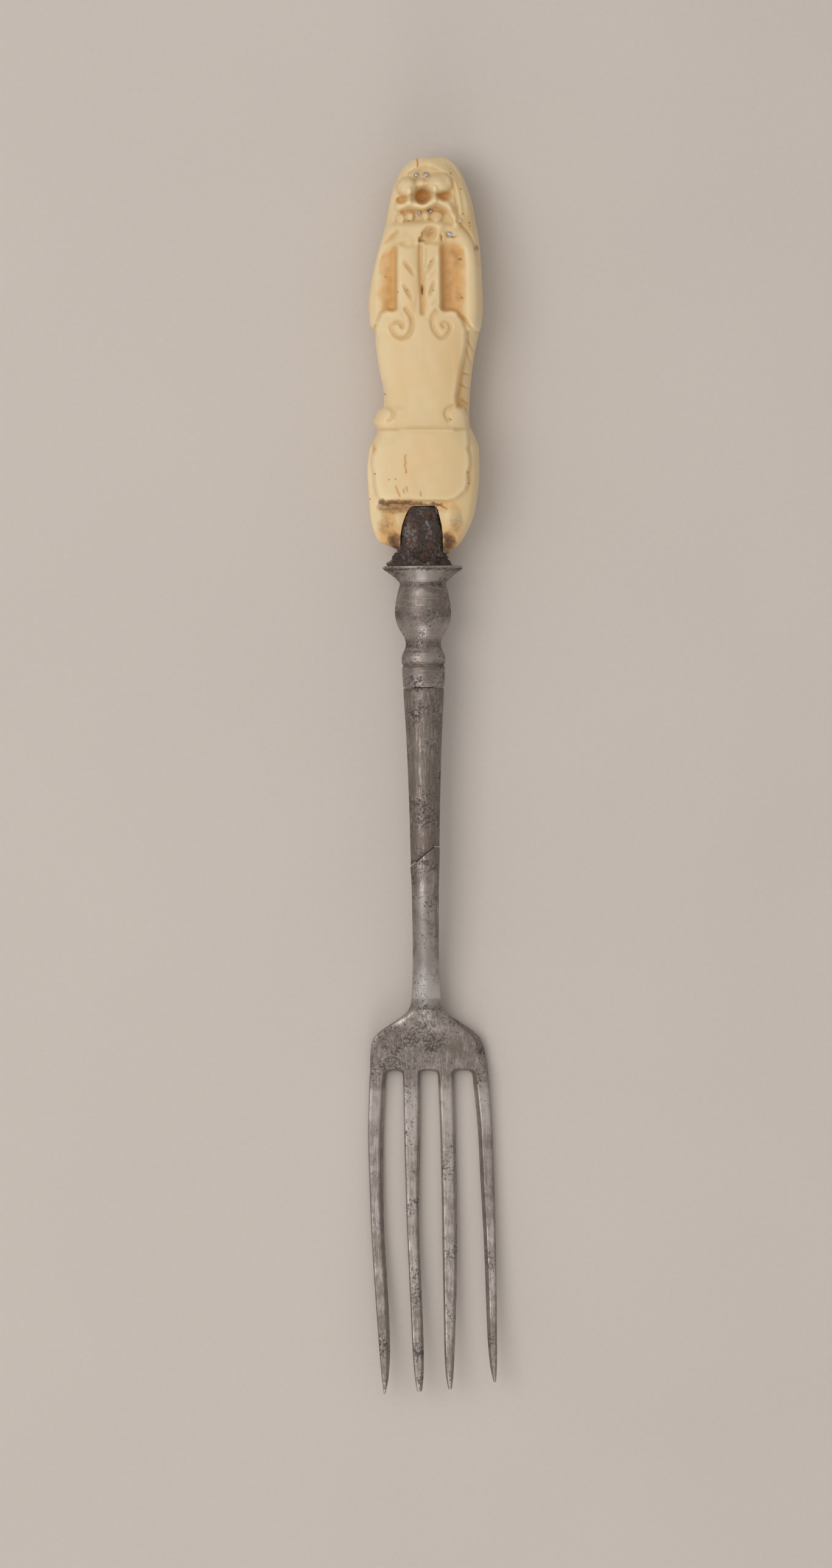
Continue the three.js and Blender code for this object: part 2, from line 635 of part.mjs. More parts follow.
// Height of the head's middle line above the shank's axis
function headDip(distance) {
  const belly = slotRoot + BELLY_DISTANCE;
  const drop = PLATE_THICKNESS / 2 - AXIS_HEIGHT;
  const rise = Math.max(0, (distance - belly) / (slotRoot + longestTine - belly));
  return drop * THREE.MathUtils.smoothstep(distance, DIP_START, belly) + TIP_RISE * square(rise);
}

function headRing(distance, left, right, thickness, squareness) {
  const middle = (left + right) / 2;
  const power = (value) => Math.sign(value) * Math.pow(Math.abs(value), 2 / squareness);
  return Array.from({ length: ROUND_SIDES }, (_, k) => {
    const angle = (2 * Math.PI * k) / ROUND_SIDES;
    const x = middle + (right - middle) * power(Math.cos(angle));
    const z = headDip(distance) + (thickness / 2) * power(Math.sin(angle));
    return new THREE.Vector3(x, -distance, z);
  });
}

function tineRing({ length, edges }, share) {
  const [left, right] = valuesAt(edges, Math.max(share, 0));
  const half = THREE.MathUtils.lerp(PLATE_THICKNESS, TINE_TIP_THICKNESS, Math.max(share, 0)) / 2;
  const bevel = Math.min(TINE_BEVEL, (right - left) / 4);
  const distance = slotRoot + share * length;
  const corners = [
    [left + bevel, -half],
    [right - bevel, -half],
    [right, -half + bevel],
    [right, half - 2 * bevel],
    [right - bevel, half],
    [left + bevel, half],
    [left, half - 2 * bevel],
    [left, -half + bevel],
  ];
  return corners.map(([x, depth]) => new THREE.Vector3(x, -distance, headDip(distance) + depth));
}

function tine(drawn) {
  const [nearTip, tip] = drawn.edges.slice(-2).map(([share]) => share);
  const evenly = Array.from({ length: TINE_STEPS }, (_, i) => (nearTip * i) / TINE_STEPS);
  const shares = [-TINE_OVERLAP / drawn.length, ...evenly, nearTip, tip];
  return loft(shares.map((share) => tineRing(drawn, share)));
}

// Slot between two tines, with a round end in the plate
function slotCut(leftTine, rightTine) {
  const left = leftTine.edges[0][2];
  const right = rightTine.edges[0][1];
  const radius = (right - left) / 2;
  const plateEnd = slotRoot + PLATE_OVERRUN + THROUGH;
  const shape = new THREE.Shape();
  shape.moveTo(left, -plateEnd);
  shape.lineTo(right, -plateEnd);
  shape.lineTo(right, -slotRoot - radius);
  shape.absarc((left + right) / 2, -slotRoot - radius, radius, 0, Math.PI);
  const depth = 2 * AXIS_HEIGHT;
  const cut = new THREE.ExtrudeGeometry(shape, { depth, bevelEnabled: false, curveSegments: SLOT_END_STEPS });
  return solidOf(cut.translate(0, 0, -AXIS_HEIGHT - THROUGH));
}

function forkHead() {
  const neckTop = SEAM_DISTANCE - SEAM_LAND - THROUGH;
  const necks = Array.from({ length: NECK_STEPS + 1 }, (_, i) => {
    const distance = THREE.MathUtils.lerp(neckTop, SHANK_LENGTH, i / NECK_STEPS);
    const radius = shankRadius(distance);
    return headRing(distance, -radius, radius, 2 * radius, 2);
  });
  const shoulders = SHOULDER_SECTIONS.map(([distance, ...row]) => headRing(SHANK_LENGTH + distance, ...row));
  const [outerLeft, outerRight] = [TINES[0].edges[0][1], TINES[TINES.length - 1].edges[0][2]];
  const plate = [slotRoot, slotRoot + PLATE_OVERRUN].map((distance) =>
    headRing(distance, outerLeft, outerRight, PLATE_THICKNESS, PLATE_SQUARENESS),
  );
  let head = loft([...necks, ...shoulders, ...plate]).intersect(belowSeam(SEAM_GAP));
  for (let i = 1; i < TINES.length; i++) head = head.subtract(slotCut(TINES[i - 1], TINES[i]));
  for (const drawn of TINES) head = head.add(tine(drawn));
  const spigotRoot = -SEAM_DISTANCE - SPIGOT_RADIUS - SEAM_LAND;
  head = head.add(round(SPIGOT_RADIUS, spigotRoot, -SEAM_DISTANCE + SPIGOT_LENGTH, SMALL_SIDES));
  return namedMesh("fork_head", head, STEEL);
}

const shank = new THREE.Group();
shank.add(upperShank(), forkHead());
shank.position.y = -COLLAR_END - COLLAR_GAP;

const steelwork = new THREE.Group();
steelwork.add(bolster(), shank);
steelwork.rotation.z = THREE.MathUtils.degToRad(SHANK_LEAN);

const pieces = new THREE.Group();
pieces.add(ivoryHandle(), tang(), tangCement(), tangCrossPin(), ...INLAY_PINS.map(inlayPin), steelwork);
pieces.position.z = AXIS_HEIGHT;

// The origin lies on the table, under the middle of the fork's length and width
const box = new THREE.Box3().setFromObject(pieces, true);
const middle = box.getCenter(new THREE.Vector3());
pieces.position.set(-middle.x, -middle.y, AXIS_HEIGHT);

const fork = new THREE.Group();
fork.add(pieces);

export default fork;
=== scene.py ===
"""Travel fork: the finished surfaces of its pieces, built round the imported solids."""
import functools
import json
import math

import bpy
import numpy as np
from mathutils import Matrix, Vector, noise


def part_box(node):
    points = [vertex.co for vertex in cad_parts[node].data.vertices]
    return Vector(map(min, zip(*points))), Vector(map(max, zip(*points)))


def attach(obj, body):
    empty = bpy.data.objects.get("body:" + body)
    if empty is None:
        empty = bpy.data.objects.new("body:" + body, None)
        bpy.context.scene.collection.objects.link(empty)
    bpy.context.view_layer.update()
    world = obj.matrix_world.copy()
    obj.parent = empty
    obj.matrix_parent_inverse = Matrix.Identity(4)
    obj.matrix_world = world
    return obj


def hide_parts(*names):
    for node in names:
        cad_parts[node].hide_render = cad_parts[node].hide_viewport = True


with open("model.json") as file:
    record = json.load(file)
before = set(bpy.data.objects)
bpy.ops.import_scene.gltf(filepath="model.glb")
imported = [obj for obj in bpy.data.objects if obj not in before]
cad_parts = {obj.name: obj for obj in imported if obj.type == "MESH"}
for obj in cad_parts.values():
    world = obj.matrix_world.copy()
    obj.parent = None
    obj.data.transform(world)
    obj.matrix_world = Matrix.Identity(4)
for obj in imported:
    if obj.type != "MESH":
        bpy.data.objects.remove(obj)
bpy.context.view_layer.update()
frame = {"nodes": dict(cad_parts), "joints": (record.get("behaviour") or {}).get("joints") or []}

bl_info = {
    "name": "Travel fork",
    "version": (1, 0, 0),
    "blender": (4, 5, 0),
    "location": "View3D > Sidebar > Fork",
    "description": "Carved handle, rusty tang, turned bolster, shank and tined head of a travel fork",
    "category": "Add Mesh",
}

# Lengths in the tables below are millimetres from the middle of the seat on the bolster's flange:
# X across to the right, Y towards the handle's crown, Z up from the axis of tang and shank.
MM = 0.001
HANDLE_FOOT = 2.0
CEMENT_LOW, CEMENT_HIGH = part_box("tang_cement")
SEAT = (CEMENT_LOW + CEMENT_HIGH) / 2
SEAT.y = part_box("ivory_handle")[0].y - HANDLE_FOOT * MM
PULL_AXIS = Vector(next(joint["axis"] for joint in frame["joints"] if joint["name"] == "fork_pull"))
LEAN = math.atan2(PULL_AXIS.x, -PULL_AXIS.y)
AXIS_HEIGHT = SEAT.z / MM
STEEL_SHIFT = -0.2
# Transforms of the handle and of the leaning steelwork from these millimetres to the frame
HANDLE_PLACE = Matrix.Translation(SEAT) @ Matrix.Scale(MM, 4)
STEEL_PLACE = (Matrix.Translation(SEAT) @ Matrix.Translation((STEEL_SHIFT * MM, 0, 0))
               @ Matrix.Rotation(LEAN, 4, "Z") @ Matrix.Scale(MM, 4))
# Turns of a bore that runs across the fork, and of one that runs along it
ACROSS = (0, math.pi / 2, 0)
ALONG = (math.pi / 2, 0, 0)
BORE_SIDES = 48

# Photograph: size, scale and the pixel of the seat
PHOTO_WIDTH = 1367
PHOTO_HEIGHT = 2576
PHOTO_SCALE = 0.09838
SEAT_PIXEL = (696.5, 930)

# Handle: height, left edge, right edge, depth before the axis, inset of the back
HANDLE_SECTIONS = [
    (HANDLE_FOOT, -3.4, 4.0, 2.2, 3.3),
    (2.8, -4.6, 5.0, 3.4, 2.1),
    (4.0, -7.3, 6.1, 4.2, 1.0),
    (5.6, -8.1, 7.0, 4.7, 0.3),
    (7.9, -8.7, 8.0, 5.0, 0.0),
    (10.9, -8.95, 8.6, 5.2, 0.0),
    (15.5, -9.19, 9.0, 5.4, 0.0),
    (19.0, -8.8, 8.9, 5.5, 0.0),
    (20.8, -7.9, 8.3, 5.5, 0.0),
    (21.9, -7.5, 7.8, 5.4, 0.0),
    (23.2, -8.1, 7.4, 5.4, 0.0),
    (24.9, -7.5, 7.3, 5.4, 0.0),
    (25.9, -6.5, 7.35, 5.5, 0.0),
    (27.8, -6.5, 7.45, 5.6, 0.0),
    (31.5, -7.2, 7.8, 5.8, 0.0),
    (35.8, -7.8, 8.5, 5.9, 0.0),
    (37.5, -7.9, 8.9, 5.9, 0.0),
    (39.3, -8.8, 9.35, 5.9, 0.0),
    (42.2, -9.0, 9.55, 5.8, 0.0),
    (46.2, -8.5, 9.4, 5.6, 0.0),
    (49.8, -7.7, 9.2, 5.4, 0.0),
    (52.6, -6.95, 8.9, 5.3, 0.0),
    (55.5, -6.15, 8.4, 5.2, 0.1),
    (58.6, -5.6, 7.8, 5.1, 0.4),
    (61.5, -4.85, 6.9, 4.8, 1.3),
    (64.0, -3.65, 5.72, 3.9, 3.1),
    (65.2, -2.4, 4.68, 2.9, 4.4),
    (65.8, -1.3, 3.85, 2.0, 5.4),
    (66.1, 0.4, 3.0, 0.9, 6.7),
]
BACK_FLAT = 0.5
HANDLE_SQUARENESS = 2.7
HANDLE_ROLL = math.radians(7)
ROLL_DEPTH = 5.4
# Share of a section's depth over which the carving fades in from the sides
CARVED_FROM = (0.2, 0.65)
# Waves that the knife left: radians per millimetre across and along, phase
KNIFE_WAVES = [(1.7, 0.9, 0.0), (-1.1, 2.3, 1.3)]
HANDLE_ROWS = 410
FRONT_POINTS = 180
BACK_POINTS = 44

# Swellings and hollows of the carving: middle, half width, half height, height, sharpness of the rim and,
# where one leans, its turn in degrees
SWELLS = [
    ((-2.75, 61.1), 1.65, 1.6, 1.9, 0.65),  # left brow
    ((2.45, 61.55), 2.25, 1.8, 2.1, 0.7),  # right brow
    ((-0.45, 61.6), 0.95, 0.85, 1.0, 0.7),  # between the brows
    ((-3.55, 58.95), 0.95, 0.7, -0.9, 0.8),  # left eye
    ((3.4, 59.55), 1.25, 0.85, -1.0, 0.8),  # right eye
    ((4.35, 58.5), 1.0, 1.5, 0.7, 0.8),  # right cheek
    ((4.2, 56.0), 1.2, 0.9, 0.5, 0.8),  # right jaw
    ((-0.2, 59.45), 1.28, 1.28, -2.3, 0.5),  # blind hole
    ((-0.15, 60.4), 1.1, 1.2, -0.5, 1.2),  # funnel above the hole
    ((-3.75, 56.0), 0.8, 0.82, 1.0, 0.35),  # teeth
    ((-2.25, 56.25), 0.72, 0.85, 1.05, 0.35),
    ((0.3, 56.35), 0.76, 0.82, 1.05, 0.35),
    ((2.1, 56.25), 1.05, 0.82, 1.05, 0.35),
    ((0.85, 53.2), 1.2, 1.6, -0.75, 0.5, -18),  # chip in the chest
    ((-0.45, 52.45), 0.42, 0.5, -0.4, 0.8),  # small chip beside it
    ((-2.7, 46.4), 1.8, 7.2, 0.35, 0.7),  # left leaf column
    ((1.45, 46.4), 1.45, 7.2, 0.35, 0.7),  # right leaf column
    ((-6.4, 23.8), 1.7, 1.9, 0.35, 1.0),  # left small scroll
    ((5.4, 23.7), 1.6, 1.8, 0.35, 1.0),  # right small scroll
    ((-5.0, 7.4), 2.0, 2.4, 0.6, 1.2),  # left lip of the slot
    ((4.3, 7.6), 1.9, 2.4, 0.6, 1.2),  # right lip of the slot
    ((-4.9, 4.0), 1.2, 1.5, -0.9, 1.0),  # left rust pocket
    ((4.2, 4.0), 1.1, 1.6, -0.9, 1.0),  # right rust pocket
]

# Pointed cuts in the leaf columns: middle, half length, half width, height, turn in degrees
CUTS = [
    ((-2.5, 47.95), 1.85, 0.36, -0.55, -52),
    ((-2.65, 44.05), 1.7, 0.36, -0.55, -59),
    ((1.05, 48.3), 1.75, 0.32, -0.5, 58),
    ((1.45, 46.8), 1.4, 0.17, -0.22, 41),
    ((1.3, 44.55), 1.6, 0.32, -0.5, 69),
    ((1.8, 42.3), 0.95, 0.16, -0.22, 42),
    ((-0.26, 44.4), 0.8, 0.15, -0.7, 90),
]

# Ridges and grooves along curves: points, half width, height
RIDGES = [
    ([(-2.35, 60.4), (-2.38, 58.5)], 0.8, 0.85),  # left side of the nose
    ([(1.7, 60.6), (1.7, 58.7)], 0.7, 0.85),  # right side of the nose
    ([(-3.9, 57.9), (-2.65, 58.3), (-1.3, 58.1), (-0.15, 57.9), (0.95, 58.4), (2.1, 58.7), (3.35, 58.1),
      (4.35, 57.1), (5.0, 56.1), (5.25, 55.3)], 1.1, 1.2),  # lip
    ([(-4.95, 58.5), (-4.65, 61.2), (-3.3, 63.2), (-1.2, 64.5), (0.6, 64.9), (2.2, 64.3), (3.6, 63.4)],
     1.1, 0.15),  # rim of the hood
    ([(4.5, 62.3), (4.75, 61.0), (5.1, 59.3), (5.4, 57.3), (5.6, 55.2)], 0.35, -0.3),  # edge of the cheek
    ([(-3.6, 57.0), (-1.5, 57.1), (0.3, 57.05), (1.9, 57.45), (3.3, 56.9)], 0.42, -0.45),  # above the teeth
    ([(2.9, 54.9), (5.9, 53.3), (7.5, 50.7), (8.2, 47.2), (8.3, 42.3), (7.9, 38.2)], 1.9, 0.6),  # right arm
    ([(-5.5, 54.2), (-6.8, 52.1), (-7.9, 49.2), (-8.4, 45.3), (-8.5, 40.3), (-8.2, 38.2)],
     1.3, 0.45),  # left arm
    ([(-6.1, 52.3), (-5.35, 53.0), (-4.45, 53.8)], 0.5, -0.45),  # under the left shoulder
    ([(-3.9, 55.3), (-2.8, 55.45), (-1.4, 55.55), (1.7, 55.75)], 0.3, -0.25),  # collar
    ([(2.8, 53.3), (2.85, 52.3)], 0.25, -0.4),  # right end of the collar
    ([(-3.8, 51.75), (-2.7, 51.45), (-1.6, 51.6)], 0.35, -0.22),  # below the chest
    ([(-0.62, 51.5), (-0.55, 48.0), (-0.4, 45.0), (-0.28, 42.5), (-0.25, 40.6)],
     0.48, -0.7),  # between the columns
    ([(0.18, 51.2), (0.1, 48.5), (-0.05, 46.0)], 0.22, -0.22),  # fine line beside that groove
    ([(-3.0, 41.25), (-2.1, 40.0), (-1.92, 38.55), (-2.4, 37.2), (-3.55, 36.6), (-4.65, 37.05), (-5.4, 38.3),
      (-4.8, 39.1), (-3.8, 39.0), (-3.55, 38.4)], 0.48, -0.55),  # left volute
    ([(2.1, 41.0), (1.4, 40.1), (1.3, 38.75), (1.9, 37.4), (2.9, 36.6), (3.9, 37.3), (4.25, 38.4),
      (3.6, 39.1), (3.0, 38.75), (3.2, 38.4)], 0.46, -0.5),  # right volute
    ([(5.7, 40.2), (6.8, 39.4), (7.9, 38.1), (9.0, 37.5)], 0.4, -0.45),  # end of the right arm
    ([(-7.9, 38.8), (-8.2, 38.0), (-8.5, 37.6)], 0.35, -0.4),  # end of the left arm
    ([(-5.9, 25.5), (-5.15, 25.1), (-4.95, 24.4), (-5.3, 23.8), (-5.8, 23.4)], 0.5, -0.42),  # left curl
    ([(4.75, 25.7), (3.75, 25.1), (3.5, 24.2), (4.0, 23.4)], 0.5, -0.42),  # right curl
    ([(-7.6, 21.95), (-4.4, 21.93)], 0.4, -0.25),  # groove above the plaque, faint in the middle
    ([(-3.6, 21.9), (4.6, 21.85)], 0.5, 0.32),
    ([(5.3, 21.87), (7.0, 21.85)], 0.4, -0.25),
    ([(-7.1, 9.7), (-3.6, 9.5), (0.3, 9.5), (3.2, 9.7)], 1.3, -0.35),  # hollow below the plaque
    ([(4.3, 64.85), (5.75, 62.45), (6.95, 59.7), (7.8, 57.3), (8.25, 55.0)], 0.25, -0.2),  # hood lines
    ([(3.7, 65.1), (5.2, 62.7), (6.0, 60.0), (6.5, 56.8)], 0.6, -0.2),
    ([(5.3, 55.4), (6.8, 54.0), (7.85, 52.4), (8.5, 50.4), (8.8, 48.3)],
     0.4, -0.5),  # behind the right shoulder
    ([(7.8, 32.3), (7.4, 29.6), (7.2, 27.7), (7.1, 26.1)], 0.16, -0.25),  # edge of the right flank
]
ROPE_TURNS = [  # upper and lower end of each groove on the right flank
    ((7.0, 36.4), (8.15, 34.5)),
    ((6.77, 35.0), (7.8, 32.3)),
    ((6.4, 31.0), (7.65, 30.8)),
    ((5.77, 29.2), (7.27, 28.6)),
    ((6.1, 26.7), (7.0, 26.1)),
]
ROPE_GROOVE = 0.26
ROPE_DEPTH = 0.5

# Shield and leaf columns, one raised surface that runs on into the chest
SHIELD = [
    (-7.6, 21.8), (-8.0, 23.3), (-7.3, 24.9), (-6.3, 25.5), (-6.4, 27.7), (-7.2, 31.5), (-7.7, 33.7),
    (-7.9, 36.4), (-7.75, 37.7), (-7.5, 39.4), (-6.93, 40.6), (-6.05, 41.2), (-5.0, 41.1), (-4.5, 41.3),
    (-4.45, 46.5), (-4.4, 51.8), (2.75, 51.8), (2.8, 46.5), (2.85, 41.3), (3.3, 41.0), (4.4, 41.1),
    (5.25, 40.9), (5.75, 40.2), (6.3, 39.2), (6.66, 37.85), (6.75, 36.3), (6.5, 34.6), (6.0, 32.1),
    (5.5, 29.3), (5.1, 27.3), (5.1, 26.2), (5.3, 25.4), (6.3, 25.2), (6.9, 23.6), (6.9, 21.8),
]
CHEST = [(-4.5, 54.9), (1.7, 55.5), (3.0, 54.8), (3.0, 51.0), (-4.6, 51.0)]
SHIELD_EDGE = 0.75
CHEST_EDGE = 1.5
SHIELD_HEIGHT = 0.7
# Raised plates and sunk panels: outline, width of the soft edge, height
PLATES = [
    ([(-4.7, 55.4), (-4.7, 59.6), (-4.3, 61.2), (-3.5, 62.5), (-2.4, 63.3), (-1.4, 63.85), (-0.4, 64.3),
      (0.5, 64.5), (1.3, 64.2), (2.4, 63.5), (3.6, 62.7), (4.7, 60.8), (5.1, 59.2), (5.3, 57.8),
      (5.65, 55.9), (4.6, 55.0), (1.7, 55.75)], 1.5, -0.9),  # field of the mask
    ([(6.9, 37.8), (10.0, 37.8), (10.0, 22.0), (7.3, 22.0), (7.1, 24.0), (6.4, 25.5), (5.4, 25.7),
      (5.3, 27.3), (5.75, 29.3), (6.2, 32.1), (6.7, 34.6), (7.0, 36.7)], 0.5, -0.9),  # right flank
    ([(-8.0, 21.8), (7.0, 21.8), (7.2, 19.7), (7.0, 18.8), (7.4, 17.5), (7.4, 15.9), (7.0, 15.0),
      (7.1, 13.3), (6.6, 12.0), (5.2, 10.8), (3.7, 10.4), (-6.2, 10.4), (-7.4, 11.1), (-7.9, 12.8),
      (-8.0, 14.8), (-8.4, 16.1), (-8.4, 17.5), (-7.8, 18.8), (-8.1, 19.7)], 0.45, 0.9),  # plaque
]

# Recesses inside the arms, which the shield and columns stand in: outline, width of the soft edge,
# depth, where the slope from the arm starts and ends
RECESSES = [
    ([(-8.2, 39.0), (-8.2, 43.0), (-7.7, 48.3), (-6.9, 50.4), (-5.6, 51.0), (-4.4, 51.6), (-3.4, 51.6),
      (-3.4, 39.0)], 1.8, 1.7, -8.0, -4.5),
    ([(1.8, 51.7), (4.6, 51.6), (6.4, 50.9), (7.2, 48.5), (7.4, 42.0), (7.3, 38.3), (1.8, 38.3)],
     1.7, 1.6, 7.4, 3.6),
]
# Unevenness of the recesses' floors: share of the depth, size of the knots, layer of the noise
RECESS_KNOTS = [(0.16, 1.1, 5)]
# Grid on which the carving is worked out: sides, cell, and cells over which the edges are worn soft
CARVING_LEFT, CARVING_RIGHT = -10.5, 10.5
CARVING_FOOT, CARVING_CROWN = 1, 67.5
CARVING_CELL = 0.1
CARVING_BLUR = 2

# Stains on the ivory: amber where damp sat, dark dirt in cracks, and darker bands under edges
AMBER_SPOTS = [  # middle, half width, half height, strength
    ((-0.15, 59.3), 1.4, 1.4, 0.85),
    ((4.9, 45.9), 2.3, 6.8, 0.6),
    ((5.6, 48.9), 1.2, 1.4, 0.4),
    ((4.8, 50.4), 1.9, 1.1, 0.4),
    ((5.9, 43.2), 1.0, 1.3, 0.4),
    ((-5.7, 44.6), 1.4, 5.0, 0.3),
    ((-3.6, 58.9), 1.2, 0.9, 0.35),
    ((3.5, 59.5), 1.5, 1.0, 0.45),
    ((0.0, 57.1), 3.4, 0.6, 0.2),
    ((7.0, 55.5), 1.6, 3.2, 0.4),
    ((0.8, 53.3), 1.3, 1.6, 0.6),
    ((-0.3, 63.8), 1.8, 0.8, 0.2),
    ((2.4, 63.6), 2.2, 0.9, -0.5),
    ((-3.2, 62.9), 1.2, 0.8, -0.4),
    ((4.6, 58.6), 1.0, 1.6, -0.7),
    ((4.3, 56.0), 1.3, 0.9, -0.7),
    ((-4.5, 57.4), 0.8, 1.6, -0.3),
    ((-4.0, 7.9), 1.0, 1.7, -0.6),
    ((3.6, 8.0), 1.0, 1.8, -0.6),
    ((-5.3, 53.0), 1.1, 0.9, 0.35),
    ((5.6, 30.0), 0.9, 8.0, 0.5),
    ((6.4, 25.9), 1.0, 1.6, 0.4),
    ((-7.9, 38.2), 0.6, 1.2, 0.5),
    ((-3.4, 9.2), 4.6, 2.2, 1.0),
    ((3.6, 9.2), 3.8, 1.7, 0.55),
    ((-5.4, 5.2), 2.8, 4.0, 1.0),
    ((4.5, 4.6), 2.6, 3.4, 0.8),
    ((-8.0, 18.9), 0.7, 1.2, 0.4),
    ((7.3, 14.0), 0.6, 3.0, 0.35),
]
CRACKS = [  # points
    [(-2.95, 17.7), (-3.1, 17.1), (-2.95, 16.6), (-3.1, 15.9)],
    [(-2.9, 15.6), (-2.85, 14.9)],
    [(-4.5, 12.7), (-4.25, 11.9), (-3.9, 11.2)],
    [(-3.3, 12.2), (-3.2, 11.6)],
    [(-2.8, 12.6), (-2.7, 11.9)],
    [(-0.55, 11.8), (-0.5, 11.2)],
    [(-1.15, 65.7), (-1.0, 65.0), (-1.05, 64.4)],
    [(2.82, 53.0), (2.86, 52.2)],
    [(-0.28, 45.0), (-0.24, 44.3), (-0.26, 43.6)],
    [(1.5, 10.05), (2.6, 9.7), (3.7, 9.05)],
    [(-0.7, 52.1), (-0.8, 52.5), (-0.4, 52.9), (-0.35, 53.6)],
]
CRACK_WIDTH = 0.22
CRACK_DARKNESS = 0.3
CRACK_BROWN = 1.5
CRACK_HALO = 1.3 * CRACK_WIDTH
GRIME_LINES = [  # points, half width, darkness
    # The first three lines: darker bands along and below the plaque's lower edge
    ([(-7.0, 10.2), (-5.4, 10.0), (-2.5, 10.1)], 0.75, 0.66),
    ([(-2.0, 9.9), (0.5, 9.8), (2.6, 9.8)], 0.6, 0.58),
    ([(-6.6, 9.3), (-4.4, 9.2), (-2.4, 9.5)], 1.7, 0.42),
    ([(-4.5, 60.0), (-4.2, 61.4), (-3.5, 62.5), (-2.2, 63.5), (-1.2, 64.0)], 0.25, 0.22),
    ([(-6.6, 6.6), (-5.0, 6.55)], 0.35, 0.3),
    ([(-6.7, 8.0), (-5.6, 7.75)], 0.3, 0.26),
    ([(4.4, 7.3), (6.2, 7.1)], 0.5, 0.3),
]
GRIME_SPOTS = [  # middle, half width, half height, darkness
    ((-4.7, 3.9), 1.5, 1.9, 0.7),
    ((-4.3, 2.9), 1.7, 1.1, 0.74),
    ((3.9, 3.7), 1.5, 2.2, 0.7),
    ((0.75, 53.7), 1.2, 1.3, 0.32),
    ((6.0, 49.3), 0.55, 0.4, 0.5),
    ((8.3, 51.2), 0.3, 0.9, 0.5),
    ((5.9, 43.0), 0.5, 0.5, 0.4),
    ((-0.4, 63.3), 1.6, 0.8, 0.22),
    ((-5.9, 6.6), 2.0, 2.8, 0.32),
    ((5.2, 6.6), 2.0, 2.8, 0.27),
    ((-1.2, 62.85), 0.75, 0.8, 0.4),
    ((0.35, 62.95), 0.75, 0.8, 0.36),
    ((-0.65, 56.7), 0.65, 0.85, 0.36),
    ((1.15, 57.05), 0.8, 0.7, 0.44),
    ((4.4, 53.15), 1.25, 0.65, 0.46),
    ((-0.5, 52.4), 0.4, 0.5, 0.5),
]
PITS = [  # middles
    (4.4, 23.4), (4.15, 23.5), (6.3, 56.6), (7.3, 55.2), (7.4, 54.7), (5.8, 55.1), (4.3, 63.2),
    (5.9, 60.7), (-7.9, 14.8), (7.0, 15.0), (7.2, 13.2), (-8.7, 10.8), (-5.6, 13.8), (-4.6, 13.9),
    (1.1, 48.9), (1.5, 44.2), (-2.7, 44.3), (-4.2, 44.0), (-2.6, 55.5), (-2.3, 55.5), (-6.3, 27.7),
    (5.8, 49.3), (5.9, 43.1), (-6.2, 46.6),
]
PIT_RADIUS = 0.22
PIT_DARKNESS = 0.58
# Amber in the hollows, which lie below the carving as it is when levelled over a number of cells
WIDE_HOLLOW = 22
WIDE_AMBER = 0.22
NARROW_HOLLOW = 6
NARROW_DEPTH = 0.22
NARROW_AMBER = 0.55
RECESS_AMBER = 0.62
HOLLOW_AMBER = 0.9
MOST_AMBER = 2.0
# Ragged edges of stains, across and along: reach, size of the knots, layer of the noise
RAGGED_ACROSS = [(0.7, 1.6, 1), (0.3, 0.5, 2)]
RAGGED_ALONG = [(0.45, 1.4, 3), (0.25, 0.45, 4)]
# Depth before the axis over which the stains of the front begin
STAIN_DEPTH = (-0.5, 1.0)
# Ivory made pale: painted light on the edges, cut back by painted shade on the right and at the upper left;
# rubbed pale on what stands proud; painted light at the crown
EDGE_PAINTED_LIGHT = 0.85
EDGE_LIGHT_SHARE = (0.3, 1.0)
RIGHT_PAINTED_SHADE = 0.45
RIGHT_SHADE_REACH = (0, 8)
UPPER_LEFT_PAINTED_SHADE = 0.5
UPPER_SHADE_REACH = (36, 42)
LEFT_SHADE_REACH = (-2, 4)
PROUD_HEIGHT = 1.1
CROWN_PAINTED_LIGHT = 0.6
CROWN_LIGHT_REACH = (63.5, 66)

TANG_FOOT = 0.05
TANG_TOP = 9.6
# Tang: height, left edge, right edge, half depth, squareness; peg, flared foot, block and spike
TANG_SECTIONS = [
    (-7.5, -2.0, 2.0, 2.0, 2.0),
    (0.0, -2.0, 2.0, 2.0, 2.0),
    (TANG_FOOT, -5.85, 4.45, 4.9, 2.0),
    (0.5, -5.5, 4.2, 4.6, 2.1),
    (1.1, -5.05, 3.8, 4.2, 2.3),
    (1.8, -4.65, 3.4, 4.0, 2.8),
    (2.7, -4.0, 3.2, 4.1, 3.0),
    (4.6, -3.95, 3.2, 4.4, 3.6),
    (6.3, -3.65, 3.0, 4.6, 5.0),
    (7.8, -3.15, 2.65, 4.65, 7.0),
    (8.8, -2.65, 2.4, 4.55, 9.0),
    (9.5, -2.2, 2.05, 4.4, 9.0),
    (TANG_TOP, -1.8, 1.8, 1.8, 4.0),
    (43.6, -0.9, 0.9, 0.9, 4.0),
]
TANG_ROW = 0.14
TANG_POINTS = 132
